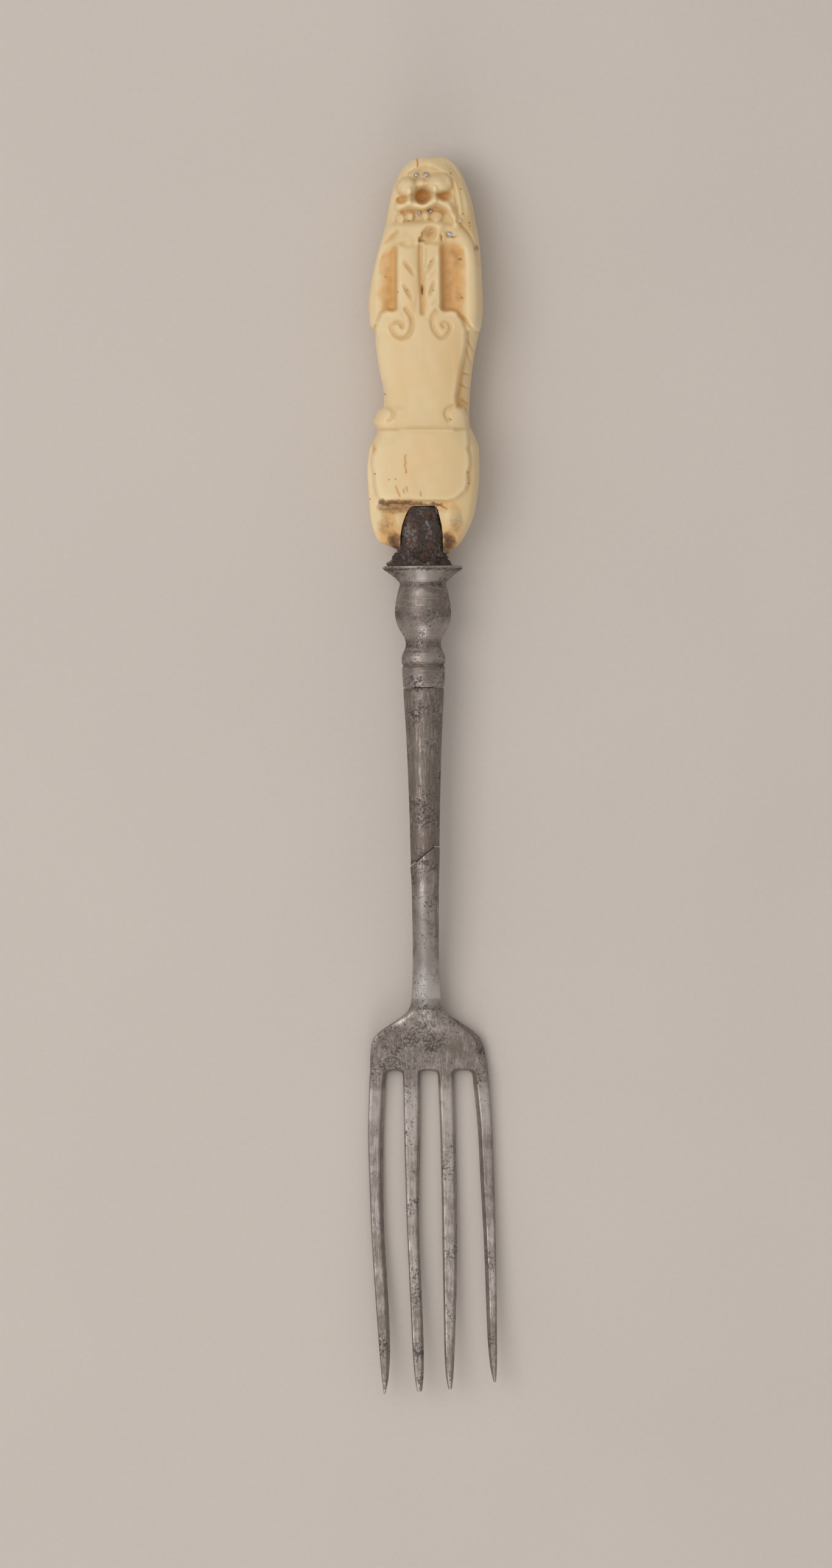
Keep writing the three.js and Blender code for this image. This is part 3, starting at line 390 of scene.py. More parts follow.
# Rust scale: share of the relief, knots per millimetre, shift, then roughness, spacing and number of octaves
RUST_SCALE = [
    (0.5, (0.95, 0.5, 0.95), (0, 0, 0), (0.8, 2.1, 4)),  # lumps
    (0.35, (3.1, 3.1, 3.1), (4, 9, 2), (0.7, 2.2, 3)),  # flakes
]
RAGGED_FOOT = 2.2
FOOT_RAGGEDNESS = 1.5
SLOT_OUTLINE = [(-3.83, -1.0), (-3.83, 1.6), (-3.8, 4.85), (-3.5, 6.55), (-2.98, 8.05), (-2.48, 9.0),
                (-2.1, 9.4), (-1.7, 9.58), (1.65, 9.58), (1.95, 9.4), (2.25, 9.0), (2.48, 8.05),
                (2.85, 6.55), (3.05, 4.85), (3.08, 1.6), (3.08, -1.0)]
SLOT_FLOOR = -3.95
CEMENT_BORE = 3.18
CEMENT_BORE_MIDDLE = (0, 23.6, 0)
CEMENT_BORE_LENGTH = 44
CROSS_PIN_BORE = 0.88
CROSS_PIN_MIDDLE = (0, 4.6, 0)
CROSS_PIN_LENGTH = 40

COLLAR_END = 19.6
# Bolster: distance below the seat, radius
BOLSTER_PROFILE = [
    (0.0, 6.18), (0.12, 6.41), (0.3, 6.48), (0.5, 6.37), (0.9, 5.8), (1.4, 5.13), (2.0, 4.4), (2.5, 3.92),
    (2.75, 3.74), (3.0, 3.74), (3.4, 3.84), (4.6, 4.15), (6.4, 4.48), (7.5, 4.56), (8.4, 4.46),
    (9.35, 4.22), (10.2, 3.85), (10.9, 3.4), (11.7, 2.98), (12.5, 2.83), (13.0, 2.87), (13.6, 3.08),
    (14.2, 3.38), (14.8, 3.53), (15.4, 3.53), (15.8, 3.46), (16.0, 3.3), (16.15, 3.28), (16.4, 3.44),
    (16.8, 3.47), (18.0, 3.41), (19.1, 3.33), (19.45, 3.29), (COLLAR_END, 3.17),
]
# How clean the bolster's steel is: distance below the seat, share
BOLSTER_CLEAN = [
    (0.0, 0.7), (0.4, 0.54), (0.8, 0.5), (2.2, 0.5), (3.0, 0.19), (4.5, 0.25), (7.5, 0.36), (9.5, 0.44),
    (11.3, 0.46), (12.5, 0.19), (13.5, 0.33), (15.2, 0.42), (16.1, 0.19), (17.5, 0.46),
    (COLLAR_END, 0.42),
]
BOLSTER_STAINS = [  # distance below the seat, reach, strength
    (0.55, 0.2, 0.9), (3.0, 0.5, 0.35), (7.8, 1.0, 0.4), (12.8, 0.7, 0.3), (16.1, 0.3, 0.5),
    (18.2, 0.8, 0.25), (COLLAR_END, 0.25, 0.1),
]
# Matt cone under the flange: distance below the seat, share; then the painted shade on its sides and the
# painted highlight down its middle
BOLSTER_MATT = [(0.4, 0.0), (0.8, 1.0), (2.3, 1.0), (2.9, 0.0), (COLLAR_END, 0.0)]
CONE_PAINTED_SHADE = 0.35
CONE_SHADE_REACH = (1.5, 4.5)
CONE_PAINTED_HIGHLIGHT = (-0.3, 1.5)
# Pegs and their bores: radius, length
PEG_BORE = (2.3, 7.8)
SHANK_PEG = (1.6, 5.5)
SHANK_PEG_BORE = (1.68, 5.7)
COLLAR_GAP = 0.1
SHANK_START = COLLAR_END + COLLAR_GAP
PROFILE_STEP = 0.16
MERGE_DISTANCE = 0.001
ROUND_SIDES = 128

# Shank: distance below its start, radius
SHANK_PROFILE = [
    (0.0, 3.14), (0.12, 3.22), (0.35, 3.27), (4.7, 3.04), (11.0, 2.75), (16.4, 2.58), (21.7, 2.43),
    (27.0, 2.34), (32.4, 2.22), (42.3, 2.12), (47.0, 2.2), (49.8, 2.4),
]
SHANK_ROWS = 9  # rows of the profile that the upper shank is turned from
SPIGOT_RADIUS = 1.5
SPIGOT_LENGTH = 16.0
SOCKET_RADIUS = 1.58
SOCKET_ROOM = 0.3
SEAM_DISTANCE = 26.8
SEAM_SLOPE = math.tan(math.radians(39.6))
SEAM_LAND = 1.2
SEAM_GAP = 0.15
SEAM_BEVEL = (0.07, 0.08)
SEAM_Y = -SHANK_START - SEAM_DISTANCE
SEAM_BLOCK = 12.0
# Everything below the seam, which slopes across the shank and ends in a flat land
SEAM_OUTLINE = [
    (-SEAM_BLOCK, SEAM_Y - SEAM_BLOCK * SEAM_SLOPE), (-SEAM_BLOCK, SEAM_Y - 3 * SEAM_BLOCK),
    (SEAM_BLOCK, SEAM_Y - 3 * SEAM_BLOCK), (SEAM_BLOCK, SEAM_Y + SEAM_LAND),
    (SEAM_LAND / SEAM_SLOPE, SEAM_Y + SEAM_LAND),
]
# Dark rims of the shank, at the seam and under the collar
SEAM_STAIN = 0.6
SEAM_STAIN_REACH = 0.7
COLLAR_STAIN = 0.25
COLLAR_STAIN_REACH = 0.5

# Head: the neck dips to the table, flattens into the shoulder plate and splits into the tines;
# distances are counted from the shank's start
DIP_START = 29.3
SLOT_ROOT = 61.6
BELLY = 67.3
TIP_RISE = 4.2
PLATE_THICKNESS = 2.4
TIP_THICKNESS = 0.8
NECK_ROWS = (30.5, 33.0, 36.0, 39.0, 42.0, 45.0, 47.5, 49.0)
# Shoulder rows: distance below the shank's start, left edge, right edge, thickness, flatness
SHOULDERS = [
    (50.7, -2.45, 2.45, 4.7, 0.03),
    (51.8, -2.65, 2.6, 4.4, 0.12),
    (52.9, -3.5, 3.5, 3.9, 0.35),
    (54.1, -5.4, 5.4, 3.4, 0.6),
    (55.4, -7.4, 7.35, 3.0, 0.85),
    (56.6, -8.75, 8.65, 2.7, 1.0),
    (57.6, -9.0, 9.1, 2.6, 1.0),
    (59.5, -9.15, 9.55, 2.5, 1.0),
]
# Left and right bevel of the plate, the flatness over which they grow, and the level of its sides
SHOULDER_BEVELS = (0.5, -0.85)
BEVEL_FLATNESS = (0.3, 0.9)
SHOULDER_SIDES = (0.82, -0.2)
SLOT_LEAD = 0.6
SLOT_BEVEL = 0.4
SLOT_CORNER = 0.6
# Where a section is widest, as a share of its half thickness, and the upright edge below that
WIDEST = -0.15
PLATE_EDGE = 0.5
TINE_EDGE = 0.25
# Bevel under a tine, and the most that bevels above and below take of its width
BOTTOM_BEVEL = 0.35
MOST_BEVEL = 0.35
MOST_BOTTOM_BEVEL = 0.3
TINE_SHARES = (0.03, 0.08, 0.16, 0.25, 0.34, 0.43, 0.52, 0.61, 0.7, 0.79, 0.87)
# Tines: length below the slots, slope of the left and right flank, rows of share, left edge, right edge
TINES = [
    (52.55, 0.2, 0.6, [(0, -9.2, -6.5), (0.06, -9.4, -6.7), (0.14, -9.6, -6.95), (0.21, -9.65, -7.1),
                      (0.37, -9.45, -7.2), (0.5, -9.25, -7.1), (0.66, -8.8, -6.65), (0.82, -8.25, -6.3),
                      (0.89, -8.0, -6.25), (0.95, -7.75, -6.5), (1, -7.4, -7.1)]),
    (52.2, 0.2, 0.4, [(0, -3.9, -1.05), (0.14, -3.82, -1.05), (0.37, -3.6, -1.35), (0.5, -3.45, -1.4),
                      (0.66, -3.12, -1.15), (0.82, -2.8, -0.88), (0.89, -2.68, -0.82), (0.96, -2.42, -0.85),
                      (1, -2.0, -1.2)]),
    (51.9, 0.3, 0.4, [(0, 1.75, 4.45), (0.14, 2.0, 4.55), (0.37, 2.23, 4.72), (0.5, 2.26, 4.74),
                      (0.66, 2.35, 4.62), (0.82, 2.42, 4.3), (0.89, 2.42, 4.15), (0.96, 2.6, 3.95),
                      (1, 3.05, 3.65)]),
    (50.8, 0.6, 0.25, [(0, 7.3, 9.9), (0.06, 7.55, 10.2), (0.14, 8.0, 10.45), (0.21, 8.25, 10.6),
                       (0.37, 8.55, 10.8), (0.5, 8.9, 10.95), (0.66, 9.18, 11.05), (0.82, 9.38, 11.05),
                       (0.89, 9.5, 11.05), (0.96, 9.85, 11.0), (1, 10.4, 10.8)]),
]
LONGEST_TINE = max(length for length, *_ in TINES)
# Columns of the head's cage: left edge, left bevel, right bevel and right edge of each tine
HEAD_COLUMNS = 4 * len(TINES)
HEAD_RING = 2 * HEAD_COLUMNS
COLUMN = np.arange(HEAD_COLUMNS)
COLUMN_ANGLE = np.pi * (COLUMN + 0.5) / HEAD_COLUMNS
OUTER_COLUMNS = np.isin(COLUMN, (0, HEAD_COLUMNS - 1))
TINE_SIDES = np.isin(COLUMN % 4, (0, 3))
BESIDE_SLOT = ~TINE_SIDES & (COLUMN > 1) & (COLUMN < HEAD_COLUMNS - 2)
HEAD_LEVELS = 3
# Creases of the cage: rings from the spigot's end to the socket edge, sides of the plate from one of its
# rows on, bevels, tips
SEAM_CREASES = (1.0, 1.0, 0.8, 0.8)
SHOULDER_CREASE = 0.6
CREASED_SHOULDER = 3
EDGE_CREASE = 0.55
TIP_CREASE = 0.75
# How clean the head's steel is: distance below the seat, share; the rise from 84 to 86, at the bend of the
# tines, is cleaner steel and partly painted light, and shares above 1, on the neck, paint a highlight in the
# scuff colour
HEAD_CLEAN_AND_LIT = [
    (46.0, 0.4), (53.0, 0.62), (62.0, 0.72), (66.0, 1.3), (69.5, 1.5), (70.6, 0.6), (71.5, 0.35),
    (72.7, 0.6), (74.5, 0.52), (77.0, 0.44), (83.0, 0.36), (84.2, 0.46), (85.6, 0.78), (89.5, 0.7),
    (93.0, 0.47), (108.0, 0.48), (120.0, 0.57), (130.0, 0.62), (134.0, 1.0),
]
# Spots on the head's steel: distance below the seat, share
HEAD_STAINS = [
    (46.0, 0.3), (52.0, 0.2), (71.0, 0.2), (73.5, 0.45), (77.5, 0.38), (79.5, 0.15), (82.0, 0.05),
    (86.0, 0.0), (112.0, 0.05), (124.0, 0.35), (131.0, 0.4), (133.5, 0.1),
]
# Outer tines, duller: share, reach across and below the seat
OUTER_DULLING = 0.08
OUTER_ACROSS = (5, 8)
OUTER_BELOW = (80, 86)
# Flanks of the neck, darker: share, reach across and below the seat
FLANK_SHADE = 0.3
FLANK_ACROSS = (1.1, 1.9)
FLANK_BELOW = (70, 64)
# Left edge of the plate, a painted highlight with fewer stains, made matt: place from the edge and width,
# start and end below the seat, shares
LIT_EDGE = (0.25, 0.3)
LIT_EDGE_START = (72, 73.5)
LIT_EDGE_END = (80, 77)
LIT_EDGE_CLEARING = 0.4
LIT_EDGE_MATT = 1.6
# Mottled patch under the neck: place and width across, place and width below the seat, shares
PATCH_ACROSS = (-0.3, 3.4)
PATCH_BELOW = (73.6, 1.9)
PATCH_CLEAN = 0.6
PATCH_STAIN = 0.55

# Steel: browned, spotted, roughness, stretch of the brush marks, streaks, clouds
STEEL_LOOKS = {
    "bolster_steel": (0.82, 0.7, 0.36, (10, 1, 10), 0.28, 1.0),
    "shank_steel": (0.86, 0.72, 0.39, (1, 20, 1), 0.6, 0.4),
    "head_steel": (0.82, 0.48, 0.38, (1, 20, 1), 0.5, 1.0),
}

# Silver inlays: node, place, half width, half height, turn
INLAYS = [
    ("forehead_pin_left", (-1.2, 62.9), 0.45, 0.5, 10),
    ("forehead_pin_right", (0.35, 63.0), 0.45, 0.5, -15),
    ("tooth_pin_left", (-0.65, 56.7), 0.4, 0.6, 5),
    ("tooth_pin_right", (1.1, 57.05), 0.5, 0.42, 35),
    ("collar_pin", (4.2, 53.3), 0.82, 0.36, -10),
]
INLAY_DEPTH = 0.6
INLAY_SUNK = 0.8  # share of the depth that lies in the ivory
# Dents in the silver: share, knots per millimetre, then roughness, spacing and number of octaves
DENT_SHARE = 0.22
DENT_SCALE = 3.0
DENT_OCTAVES = (0.8, 2.0, 3)

# Stage, in metres and watts: a light's name, place, size and power
LIGHTS = [
    ("window", (-0.34, 0.08, 0.64), 0.42, 1.55),
    ("soft_box", (-0.5, 0.45, 1.5), 2.0, 6.1),
    ("front", (0.0, -1.25, 0.9), 0.6, 2.5),
    ("low_front", (-0.05, -1.2, 0.28), 0.4, 1.9),
]
LIGHT_COLOUR = (1.0, 0.97, 0.95)
ROOM_LIGHT = 0.49
PAPER_SIZE = 3
PAPER_LEVEL = -0.02 * MM


class ForkSizes(bpy.types.PropertyGroup):
    """Sizes of the finish that can be set by themselves."""

    carving: bpy.props.FloatProperty(
        name="Carving", description="Share of the carved relief's full depth", default=1.0, min=0.0, max=1.5)
    undulation: bpy.props.FloatProperty(
        name="Hand work", description="Height of the waves that the carver's knife left",
        default=0.03 * MM, unit="LENGTH", precision=5)
    rust_relief: bpy.props.FloatProperty(
        name="Rust relief", description="Height of the rust scale on the tang",
        default=0.7 * MM, unit="LENGTH", precision=5)
    seam_step: bpy.props.FloatProperty(
        name="Seam step", description="How far the head's socket edge stands proud of the shank",
        default=0.06 * MM, unit="LENGTH", precision=5)
    inlay_proud: bpy.props.FloatProperty(
        name="Inlay height", description="How far the silver stands above the ivory",
        default=0.12 * MM, unit="LENGTH", precision=5)
    camera_height: bpy.props.FloatProperty(
        name="Camera height", description="Height of the camera above the table", default=1.5, unit="LENGTH")


class ForkColours(bpy.types.PropertyGroup):
    """Colours of the finishes, in linear values."""

    ivory: bpy.props.FloatVectorProperty(
        name="Ivory", description="Clean ivory", subtype="COLOR", default=(0.67, 0.503, 0.264), min=0, max=1)
    # Pale ivory: rubbed wear on raised parts, and painted light on the outer edges and the crown
    pale: bpy.props.FloatVectorProperty(
        name="Pale ivory", description="Ivory rubbed pale on raised and outer edges", subtype="COLOR",
        default=(0.8, 0.65, 0.395), min=0, max=1)
    amber: bpy.props.FloatVectorProperty(
        name="Amber", description="Ivory stained in the hollows", subtype="COLOR",
        default=(0.665, 0.395, 0.147), min=0, max=1)
    brown: bpy.props.FloatVectorProperty(
        name="Brown", description="Ivory stained deepest", subtype="COLOR",
        default=(0.335, 0.18, 0.08), min=0, max=1)
    grime: bpy.props.FloatVectorProperty(
        name="Grime", description="Dirt in cracks and under edges", subtype="COLOR",
        default=(0.1, 0.05, 0.022), min=0, max=1)
    steel: bpy.props.FloatVectorProperty(
        name="Steel", description="Bare steel", subtype="COLOR", default=(0.403, 0.362, 0.336), min=0, max=1)
    patina: bpy.props.FloatVectorProperty(
        name="Patina", description="Brown film on the steel", subtype="COLOR",
        default=(0.118, 0.086, 0.067), min=0, max=1)
    # The scuff colour also paints highlights on the steel
    scuff_and_highlight: bpy.props.FloatVectorProperty(
        name="Scuffs", description="Bright scratches in the steel", subtype="COLOR",
        default=(0.55, 0.512, 0.485), min=0, max=1)
    pit: bpy.props.FloatVectorProperty(
        name="Pits", description="Corrosion pits in the steel", subtype="COLOR",
        default=(0.04, 0.029, 0.023), min=0, max=1)
    scale: bpy.props.FloatVectorProperty(
        name="Scale", description="Dark scale on the iron", subtype="COLOR",
        default=(0.062, 0.043, 0.035), min=0, max=1)
    rust: bpy.props.FloatVectorProperty(
        name="Rust", description="Rust on the iron", subtype="COLOR",
        default=(0.17, 0.07, 0.035), min=0, max=1)
    silver: bpy.props.FloatVectorProperty(
        name="Silver", description="Worn silver", subtype="COLOR", default=(0.63, 0.62, 0.61), min=0, max=1)
    cement: bpy.props.FloatVectorProperty(
        name="Cement", description="Resin cement", subtype="COLOR", default=(0.2, 0.12, 0.06), min=0, max=1)
    paper: bpy.props.FloatVectorProperty(
        name="Paper", description="Paper on the table", subtype="COLOR",
        default=(0.63, 0.573, 0.522), min=0, max=1)


class Socket:
    """A value in a finish, on which arithmetic adds Math nodes."""

    def __init__(self, finish, socket):
        self.finish = finish
        self.socket = socket

    def math(self, operation, first, second):
        return self.finish.node("ShaderNodeMath", {"operation": operation}, {0: first, 1: second})

    def __add__(self, other):
        return self.math("ADD", self, other)

    def __sub__(self, other):
        return self.math("SUBTRACT", self, other)

    def __rsub__(self, other):
        return self.math("SUBTRACT", other, self)

    def __mul__(self, other):
        return self.math("MULTIPLY", self, other)

    __radd__ = __add__
    __rmul__ = __mul__


class Finish:
    """A procedural material, from Object coordinates to its shader."""

    def __init__(self, name):
        self.material = bpy.data.materials.new(name)
        self.material.use_nodes = True
        self.tree = self.material.node_tree
        self.shader = self.tree.nodes["Principled BSDF"]
        self.place = self.node("ShaderNodeTexCoord", output="Object")

    def feed(self, socket, value):
        if isinstance(value, Socket):
            self.tree.links.new(value.socket, socket)
        else:
            socket.default_value = value

    def node(self, kind, settings=None, sockets=None, output=0):
        node = self.tree.nodes.new(kind)
        for name, value in (settings or {}).items():
            setattr(node, name, value)
        for key, value in (sockets or {}).items():
            self.feed(node.inputs[key], value)
        return Socket(self, node.outputs[output])

    def noise(self, size, detail=3.0, roughness=0.5, stretch=(1, 1, 1), shift=(0, 0, 0)):
        """Noise from 0 to 1 whose features are about size millimetres, longer along a stretched axis."""
        scale = [1 / (size * MM * share) for share in stretch]
        mapping = {"Vector": self.place, "Scale": scale, "Location": shift}
        place = self.node("ShaderNodeMapping", None, mapping)
        sockets = {"Vector": place, "Scale": 1.0, "Detail": detail, "Roughness": roughness}
        return self.node("ShaderNodeTexNoise", None, sockets)

    def step(self, value, low, high):
        """0 below low and 1 above high, with a soft step between."""
        sockets = {"Value": value, "From Min": low, "From Max": high}
        return self.node("ShaderNodeMapRange", {"interpolation_type": "SMOOTHSTEP"}, sockets)

    def above(self, value, level, softness):
        """0 below a level and 1 above it, with a step that reaches softness both ways."""
        return self.step(value, level - softness, level + softness)

    def mix(self, share, first, second):
        """The first colour, and the second where share is 1."""
        pair = [colour if isinstance(colour, Socket) else (*colour, 1) for colour in (first, second)]
        return self.node("ShaderNodeMix", {"data_type": "RGBA"}, {0: share, 6: pair[0], 7: pair[1]}, 2)

    def attribute(self, name):
        return self.node("ShaderNodeAttribute", {"attribute_name": name}, output="Fac")

    def bump(self, height, distance, strength=1.0):
        """Normal of a surface raised by height times distance millimetres."""
        sockets = {"Height": height, "Distance": distance * MM, "Strength": strength}
        return self.node("ShaderNodeBump", None, sockets)

    def shade(self, sockets):
        for name, value in sockets.items():
            self.feed(self.shader.inputs[name], value)
        return self.material


# In the finishes below, a noise has its size in millimetres, its octaves and its roughness; a step has
# the two levels that it runs between; other numbers are shares.
def ivory_finish(colours):
    """Ivory with grain, stained amber and brown, with dirt in cracks and hollows."""
    finish = Finish("ivory")
    stain = finish.attribute("stain")
    dirt = finish.attribute("grime")
    rubbed_and_lit = finish.attribute("rubbed_and_lit")
    cloud = finish.noise(7, 5, 0.55)
    grain = finish.noise(0.45, 3, 0.6, (1, 14, 1))
    rings = finish.noise(0.3, 4, 0.65, (9, 1, 9))
    speck = finish.noise(0.6, 5, 0.7)
    # Pale tone: rubbed wear on raised parts, and painted light on the edges and the crown
    tone = finish.mix(finish.step(rubbed_and_lit + 0.5 * (cloud - 0.5), 0.0, 1.0), colours.ivory, colours.pale)
    blush = finish.step(cloud, 0.42, 0.7) * 0.2 + finish.step(grain, 0.5, 0.75) * 0.12
    tone = finish.mix(blush, tone, colours.amber)
    depth = finish.step(stain + 0.5 * (cloud - 0.5) + 0.35 * (speck - 0.5), 0.05, 1.05)
    tone = finish.mix(depth, tone, colours.amber)
    near_dirt = finish.step(dirt, 0.02, 0.35)
    deepest = finish.step(stain + 0.5 * (cloud - 0.5) + 0.7 * (speck - 0.5), 1.05, 2.0)
    tone = finish.mix(deepest, tone, colours.brown)
    tone = finish.mix(0.6 * finish.step(dirt, 0.05, 0.6), tone, colours.brown)
    patches = 1.1 * (speck - 0.5) + 0.35 * (rings - 0.5)
    black = finish.step(dirt + patches * near_dirt, 0.1, 0.85)
    dirt_tone = finish.mix(finish.step(speck, 0.46, 0.62), colours.grime, colours.rust)
    tone = finish.mix(black, tone, dirt_tone)
    return finish.shade({
        "Base Color": tone,
        "Roughness": 0.36 + 0.15 * depth + 0.3 * black + 0.1 * grain,
        "IOR": 1.5,
        "Subsurface Weight": 0.25,
        "Subsurface Radius": (1.0, 0.65, 0.35),
        "Subsurface Scale": 0.9 * MM,
        "Normal": finish.bump(grain * 0.35 + speck * 0.65 - black * 0.5, 0.012),
    })


def steel_finish(name, colours):
    """Old brushed steel under a brown film with dark spots, and painted highlights where its clean share
    passes 1.
    """
    browned, spotted, gloss, brush_way, streaky, cloudy = STEEL_LOOKS[name]
    finish = Finish(name)
    cloud = finish.noise(2.6, 5, 0.6)
    patch = finish.noise(4.5, 3, 0.5, shift=(3, 1, 5))
    speck = finish.noise(0.45, 5, 0.7)
    grit = finish.noise(0.16, 3, 0.6, shift=(7, 3, 1))
    flake = finish.noise(1.3, 6, 0.7, shift=(1, 8, 3))
    brush = finish.noise(0.14, 3, 0.6, brush_way)
    streak = finish.noise(0.4, 2, 0.5, brush_way)
    # The stain share also holds painted shade, on the sides of the bolster's cone
    stain = finish.attribute("stain")
    matt = finish.attribute("matt")
    wiped_and_lit = finish.attribute("clean")
    clean = finish.step(wiped_and_lit + 0.8 * (cloud - 0.5), 0.1, 0.9)
    # Where the clean share passes 1, the scuff colour paints a highlight
    painted_highlight = finish.step(wiped_and_lit + 0.8 * (flake - 0.5), 1.0, 1.5)
    cover = browned + 0.6 * stain - 0.6 * clean
    spots = spotted + 0.8 * stain - 0.35 * clean
    haze = 0.5 + cloudy * (cloud - 0.5) + 0.25 * (speck - 0.5)
    film = finish.above(haze + streaky * (brush + streak - 1), 0.8 - 0.5 * cover, 0.2)
    pits = finish.above(0.6 * speck + 0.4 * grit + 0.6 * (patch - 0.5), 0.66 - 0.12 * spots, 0.03)
    flakes = finish.above(flake + 0.5 * (patch - 0.5), 0.74 - 0.12 * spots, 0.05)
    scuffed = finish.step(0.5 * brush + 0.5 * streak + 0.3 * (patch - 0.5), 0.52, 0.68)
    tone = finish.mix(0.85 * film, colours.steel, colours.patina)
    tone = finish.mix((0.3 + 0.3 * clean) * scuffed, tone, colours.scuff_and_highlight)
    tone = finish.mix(painted_highlight, tone, colours.scuff_and_highlight)
    tone = finish.mix(0.6 * flakes, tone, colours.pit)
    tone = finish.mix(0.75 * pits, tone, colours.pit)
    rough = gloss + 0.14 * film + 0.2 * pits + 0.12 * flakes
    height = 0.3 * cloud + 0.35 * speck + 0.2 * grit + 0.15 * brush - 0.5 * pits
    return finish.shade({
        "Base Color": tone,
        "Metallic": 0.9 - 0.35 * film - 0.2 * pits - 0.2 * flakes,
        "Roughness": rough + 0.15 * (grit - 0.5) + 0.25 * matt - 0.06 * clean,
        "Normal": finish.bump(height, 0.024),
    })


def rust_finish(colours):
    """Dark scale with rust, worn to the iron in lighter patches, which also paint its glints."""
    finish = Finish("rusty_iron")
    lump = finish.noise(1.5, 5, 0.65)
    grit = finish.noise(0.4, 5, 0.75)
    wear = finish.noise(1.5, 4, 0.6, (1, 2.2, 1), (2, 5, 1))
    rusty = finish.step(lump + 0.6 * (grit - 0.5), 0.48, 0.7)
    # Worn patches: bare iron, lighter, which also stand for the scale's glints as painted highlights
    worn = finish.step(wear + 0.9 * (grit - 0.5), 0.52, 0.74)
    tone = finish.mix(0.7 * rusty, colours.scale, colours.rust)
    tone = finish.mix(0.7 * worn, tone, colours.steel)
    return finish.shade({
        "Base Color": tone,
        "Metallic": 0.6 * worn,
        "Roughness": 0.6 - 0.25 * worn + 0.15 * rusty,
        "Normal": finish.bump(lump + 0.7 * grit, 0.4),
    })


def silver_finish(colours):
    """Scratched silver with tarnish."""
    finish = Finish("silver")
    scratch = finish.noise(0.18, 3, 0.6)
    tarnish = finish.step(finish.noise(0.35, 3), 0.5, 0.68)
    return finish.shade({
        "Base Color": finish.mix(tarnish * 0.7, colours.silver, colours.patina),
        "Metallic": 1.0,
        "Roughness": 0.28 + 0.25 * tarnish,
        "Normal": finish.bump(scratch, 0.06),
    })


def cement_finish(colours):
    """Dull, grainy resin."""
    finish = Finish("cement")
    grain = finish.noise(0.5, 5, 0.6)
    return finish.shade({
        "Base Color": finish.mix(grain, colours.cement, colours.grime),
        "Roughness": 0.85,
        "Normal": finish.bump(grain, 0.08),
    })


def paper_finish(colours):
    """Matt paper with fibres and faint clouds."""
    finish = Finish("paper")
    fibre = finish.noise(0.8, 5, 0.8)
    cloud = finish.noise(40, 2)
    shade = tuple(0.8 * channel for channel in colours.paper)
    return finish.shade({
        "Base Color": finish.mix(0.6 * fibre + 0.3 * cloud, colours.paper, shade),
        "Roughness": 0.9,
        "Specular IOR Level": 0.2,
        "Normal": finish.bump(fibre, 0.03, 0.5),
    })


def only(piece):
    """Makes a piece the one that is selected and active."""
    bpy.ops.object.select_all(action="DESELECT")
    piece.select_set(True)
    bpy.context.view_layer.objects.active = piece


def mesh_piece(name, points, faces):
    """A new object of the points and faces, with its normals pointing out."""
    mesh = bpy.data.meshes.new(name)
    mesh.from_pydata(np.asarray(points, float).reshape(-1, 3).tolist(), [], faces)
    piece = bpy.data.objects.new(name, mesh)
    bpy.context.scene.collection.objects.link(piece)
    only(piece)
    bpy.ops.object.mode_set(mode="EDIT")
    bpy.ops.mesh.select_all(action="SELECT")
    bpy.ops.mesh.normals_make_consistent(inside=False)
    bpy.ops.object.mode_set(mode="OBJECT")
    return piece


def ring_faces(rings, count):
    """Faces between rings of equally many points, and over both ends."""
    ring, point = np.meshgrid(np.arange(rings - 1), np.arange(count), indexing="ij")
    near = ring * count + point
    beside = ring * count + (point + 1) % count
    faces = np.stack([near, beside, beside + count, near + count], -1).reshape(-1, 4).tolist()
    return faces + [list(range(count)), list(range((rings - 1) * count, rings * count))]


def rows_at(rows, positions):
    """Values between rows of (position, value, ...), on curves that never overshoot the rows."""
    table = np.array(rows, float)
    knots, values = table[:, 0], table[:, 1:]
    gaps = np.diff(knots)[:, None]
    slopes = np.diff(values, axis=0) / gaps
    before, after = slopes[:-1], slopes[1:]
    same_way = before * after > 0
    total = np.where(same_way, before + after, 1)
    tangents = np.vstack([slopes[:1], np.where(same_way, 2 * before * after / total, 0), slopes[-1:]])
    positions = np.asarray(positions, float)
    i = np.clip(np.searchsorted(knots, positions, side="right") - 1, 0, len(knots) - 2)
    span = gaps[i]
    t = np.clip((positions - knots[i])[..., None] / span, 0, 1)
    rise = (values[i + 1] - values[i]) * t * t * (3 - 2 * t)
    lead = t * (1 - t) ** 2 * span * tangents[i]
    follow = t * t * (t - 1) * span * tangents[i + 1]
    return np.moveaxis(values[i] + rise + lead + follow, -1, 0)


def smooth_step(value, low, high):
    """0 below low and 1 above high, with a soft step between."""
    t = np.clip((value - low) / (high - low), 0, 1)
    return t * t * (3 - 2 * t)


def bell(value, place, width):
    """1 at a place, falling off over a width on both sides."""
    return np.exp(-((value - place) / width) ** 2)


def curved(points, steps=6):
    """A smooth line through the points."""
    line = np.array([points[0], *points, points[-1]], float)
    share = np.linspace(0, 1, steps, endpoint=False)[:, None]
    stretches = []
    for before, start, end, after in zip(line, line[1:], line[2:], line[3:]):
        bend = 2 * before - 5 * start + 4 * end - after
        twist = 3 * (start - end) + after - before
        stretches.append(start + 0.5 * share * (end - before + share * (bend + share * twist)))
    return np.vstack([*stretches, line[-1:]])


